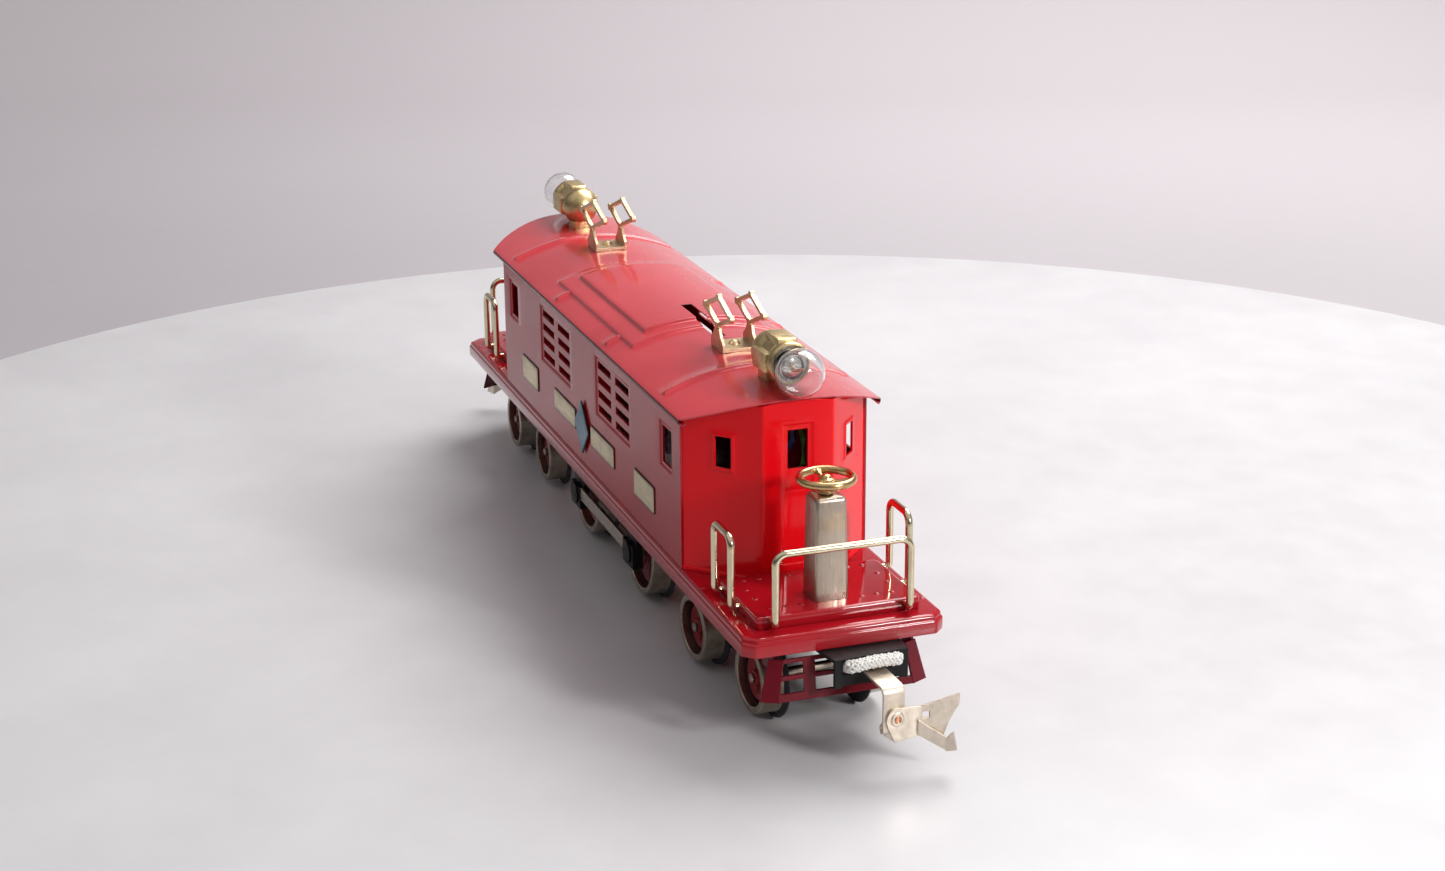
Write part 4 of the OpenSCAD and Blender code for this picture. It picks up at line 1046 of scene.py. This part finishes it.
def make_coupler(end):
    """Strap bent down from the truck, and a hook of folded plates riveted to it."""
    shank_z, strap_t, half, drop_x, foot_z, soft = 28.5, 0.9, 3.7, 17.0, 13.5, 0.22
    fold_r, rivet_z = 2.6, 17.8

    def strap_line(z, r, x):
        bend = arc(drop_x - fold_r, 25.4, r, range(84, -1, -12))
        return [(0.0, z), (3.0, z)] + bend + [(x, 20.0), (x, foot_z)]

    bm = bmesh.new()
    rows = []
    y = Vector((0, 1, 0))
    for (ax, az), (bx, bz) in zip(strap_line(shank_z + strap_t, fold_r, drop_x),
                                  strap_line(shank_z, fold_r - strap_t, drop_x - strap_t)):
        n = Vector((ax - bx, 0, az - bz)).normalized()
        a, b = Vector((ax, 0, az)), Vector((bx, 0, bz))
        side = [(a, half - soft), (a - n * soft * 0.3, half - soft * 0.3), (a - n * soft, half),
                (b + n * soft, half), (b, half - soft)]
        rows.append([p + y * w for p, w in side] + [p - y * w for p, w in reversed(side)])
    loft(bm, rows, caps=(True, True))
    eye = off(0, shank_z, (1.46, 0), (half - 0.2, 0), (half, 0.2), (half, strap_t - 0.2),
              (half - 0.2, strap_t), (1.46, strap_t))
    turned(bm, eye, "Z", (0, 0, 0), 40, wrap=True)
    tail = [(drop_x - 1.0 - 1.3 * sin(a * pi / 8) - 0.9 * a / 8, -2.9, 16.4 - 0.48 * a) for a in range(9)]
    tube(bm, tail, 0.5, 10)
    body = "coupler_" + end
    piece("coupler_strap_" + end, bm, COUPLER, (body,), 35, body, COUPLERS[end])

    bm = bmesh.new()
    stand = spin(90) @ spin(90, "X")
    gusset = shift(0.05, -0.2) @ spin(155) @ stand
    wing = shift(0, 8.5) @ spin(-13) @ stand
    arm = shift(0.7, 7.8) @ spin(-20)
    tip = arm @ shift(0.1, 8.9) @ spin(-24) @ stand
    ear = arc(0.6, rivet_z, 3.6, range(75, 215, 14))
    slab(bm, ear + [(-2.5, 15.4), (-0.2, 10.4), (8.6, 11.1), (8.8, 20.5)], 1.0, stand)
    slab(bm, [(0, 10.4), (2.9, 12.2), (2.4, 13.1), (0, 13.1)], 0.9, gusset)
    # the wing is in four strips round its window
    beak = [(3.2, 13.7), (7.6, 10.4), (9.4, 15.2), (12.4, 20.3), (12.6, 23.4), (8, 22.2), (3.2, 21.1)]
    for strip in ([(0, 16), (0.8, 15.4), (0.8, 20.7), (0, 20.5)],
                  [(0.8, 18.8), (3.2, 18.8), (3.2, 21.1), (0.8, 20.7)],
                  [(0.8, 15.4), (3.2, 13.7), (3.2, 16.6), (0.8, 16.6)], beak):
        slab(bm, strip, 1.0, wing)
    slab(bm, [(0, 16.4), (0, 11.6), (9, 5.8), (9, 10.2)], 1.0, arm @ stand)
    slab(bm, [(0, 5.8), (3.4, 6.6), (2.2, 12.6), (0, 10.1)], 1.0, tip)
    bmesh.ops.bevel(bm, geom=[e for e in bm.edges if e.calc_face_angle(0) > 0.6], offset=0.16, segments=2,
                    affect="EDGES", clamp_overlap=True)
    rivet = [(0.01, 1.3), (0.6, 1.3), (0.85, 1.62), (1.1, 1.55), (1.25, 1.2)]
    washer = [(1.2, 1.15), (1.3, 1.4), (1.8, 1.45), (2.15, 1.3), (2.25, 0.9)]
    shaft = [(1.2, 0.5), (1.2, -1.0), (1.9, -1.1), (1.9, -1.6), (0.01, -1.7)]
    for profile, steps, mat in ((rivet, 28, 1), (washer, 28, 0), (shaft, 24, 1)):
        turned(bm, profile, "X", (0, 0.6, rivet_z), steps, mat=mat)
    place = COUPLERS[end] @ shift(drop_x + 0.05)
    piece("coupler_hook_" + end, bm, (COUPLER, COPPER), ("coupler_head_" + end,), 35, body, place)


def make_cord():
    """Cotton braid of two sets of strands that pass over and under each other."""
    points = [(60.5, -7.3, 30), (62.5, -7.4, 30.1), (64.8, -7.6, 30.7), (66.8, -7.8, 31.4), (67.6, -6, 31.8),
              (67.7, -3, 32.1)]
    points += [(67.7, 0, 32.2)] + [(x, -y, z) for x, y, z in reversed(points)]
    route = smooth_route(points, 14)
    lengths = [0.0]
    for a, b in zip(route, route[1:]):
        lengths.append(lengths[-1] + (b - a).length)
    bm = bmesh.new()
    # the core under the strands is in the darker cotton as painted shade
    tube(bm, route, 1.3, 12, mat=1)
    strands, pitch = 6, 7.0
    for way in (-1, 1):
        for k in range(strands):
            line = []
            for (p, a, b), s in zip(frames_along(route), lengths):
                t = tau * (way * s / pitch + k / strands)
                weave = cos(tau * s / pitch * strands + (pi if way > 0 else 0) + pi * k)
                line.append(p + (a * cos(t) + b * sin(t)) * (1.5 + 0.26 * weave))
            tube(bm, line, 0.46, 7, squash=0.8)
    piece("cotton_braid", bm, (COTTON, COTTON_SHADE), ("coupler_cord",), 60, "truck_near",
          TRUCKS["near"])


# ---------- making everything ----------

set_camera()
set_light()
make_underframe()
for end in ENDS:
    make_platform(end)
    make_end(end)
    make_pedestal(end)
    make_handwheel(end)
    make_coupler(end)
make_side("side_wall_left", Matrix())
make_side("side_wall_right", FAR)
make_roof()
make_plates()
make_lamps()
truck_z = pivot("far_outer_axle_turn").z
driver = pivot("front_driver_turn")
base = (abs(pivot("far_outer_axle_turn").x) - abs(pivot("far_inner_axle_turn").x)) / 2
for end in ENDS:
    for row, x in (("outer", base), ("inner", -base)):
        wheels = f"{end}_{row}"
        make_wheelset(wheels, wheels + "_axle", (x, truck_z), TRUCKS[end], TRUCK_WHEEL, (wheels + "_wheels",))
for row, x in (("front", driver.x), ("rear", -driver.x)):
    wheels = row + "_driver"
    make_wheelset(wheels, wheels + "s", (x, driver.z), None, DRIVER, (wheels + "s", wheels + "_centres"))
make_cord()

# CAD shapes that stay as they are, with their materials
KEPT = {
    BLACK: "truck_frame_near truck_frame_far driver_side_frames",
    # the reverse lever under the roof slot takes the slot's painted shade
    SHADE: "reverse_lever",
    # the pilots take the dark maroon with painted shade
    PILOT_RED_SHADED: "pilot_near pilot_far",
    FRAME_BRASS: "pantograph_near pantograph_far roof_rivets",
    WIRE: "front_railing_near front_railing_far side_railings",
    NICKEL: "truck_pivot_screws driver_side_bars",
    STEEL: "motor_side_plates",
    COPPER: "pickup_shoes",
    IRON: "field_core reverse_unit",
    COIL: "field_coil armature",
    FIBRE: "brush_plate",
    GEAR: "front_driver_gear rear_driver_gear idler_gear",
    BLUE_WIRE: "wire_blue",
    GREEN_WIRE: "wire_green",
}
for mat, names in KEPT.items():
    for name in names.split():
        mesh = frame["nodes"][name].data
        mesh.materials.clear()
        mesh.materials.append(mat)


def make_stage():
    """Round pale turntable in front of a backdrop that curves up out of the floor, with painted light: darker
    in front and to the left, lighter further back and to the right.
    """
    bm = bmesh.new()
    r = 441.0
    profile = [(0.01, -0.02), (60, -0.02), (200, -0.02), (r - 3, -0.02), (r - 0.8, -0.5), (r, -2.5), (r, -14)]
    turned(bm, profile, "Z", (-13.5, 48.7, 0), 128)
    bmesh.ops.remove_doubles(bm, verts=bm.verts, dist=0.05)
    bmesh.ops.recalc_face_normals(bm, faces=bm.faces)
    bm.transform(Matrix.Scale(MM, 4))
    mat, g, shader = new_material("turntable_grey")
    worn = g.span(g.noise(9, 6, 0.62), 0.3, 0.7)
    g.feed(shader, {
        "Base Color": g.mix(worn, (0.56, 0.553, 0.567), (0.61, 0.603, 0.617)),
        "Roughness": g.span(g.noise(40, 5), 0.3, 0.7, 0.30, 0.42),
        "Normal": g.bump(g.noise(300, 3), 0.06, 0.0002),
    })
    disc = as_object("turntable", bm, mat, 30)

    # the backdrop is drawn in metres, along the camera's line of sight
    bm = bmesh.new()
    floor_z, bend_y, bend_r, half = -0.012, 1.0, 0.5, 4
    bend = [pi / 2 * t / 24 for t in range(25)]
    section = [(bend_y + bend_r * sin(a), floor_z + bend_r * (1 - cos(a))) for a in bend]
    section = [(-4, floor_z)] + section + [(bend_y + bend_r, 4)]
    loft(bm, [[(x, y, z) for x in (-half, half)] for y, z in section], closed=False)
    bmesh.ops.recalc_face_normals(bm, faces=bm.faces)
    bm.transform(spin(CAMERA_TURN))
    mat, g, shader = new_material("backdrop_lilac_painted_light")
    # painted light: the backdrop's colour runs from dark in front and on the left to light up the far wall
    # and on the right
    right = g.span(g.dot(g.coord, (0.32, 0.95, 0)), -0.55, 0.75)
    away = g.span(g.dot(g.coord, (-0.95, 0.32, 0)), 0.35, 1.2)
    paper_painted_light = g.mix(away, g.mix(right, (0.35, 0.325, 0.345), (0.42, 0.395, 0.41)),
                  g.mix(right, (0.52, 0.485, 0.505), (0.69, 0.645, 0.67)))
    g.feed(shader, {
        "Base Color": g.mix(g.span(g.noise(1.5, 3), 0.3, 0.7, 0.0, 0.12), paper_painted_light, (0.60, 0.57, 0.59)),
        "Roughness": g.span(g.noise(60, 3), 0.3, 0.7, 0.85, 0.95),
    })
    wall = as_object("backdrop", bm, mat)


make_stage()
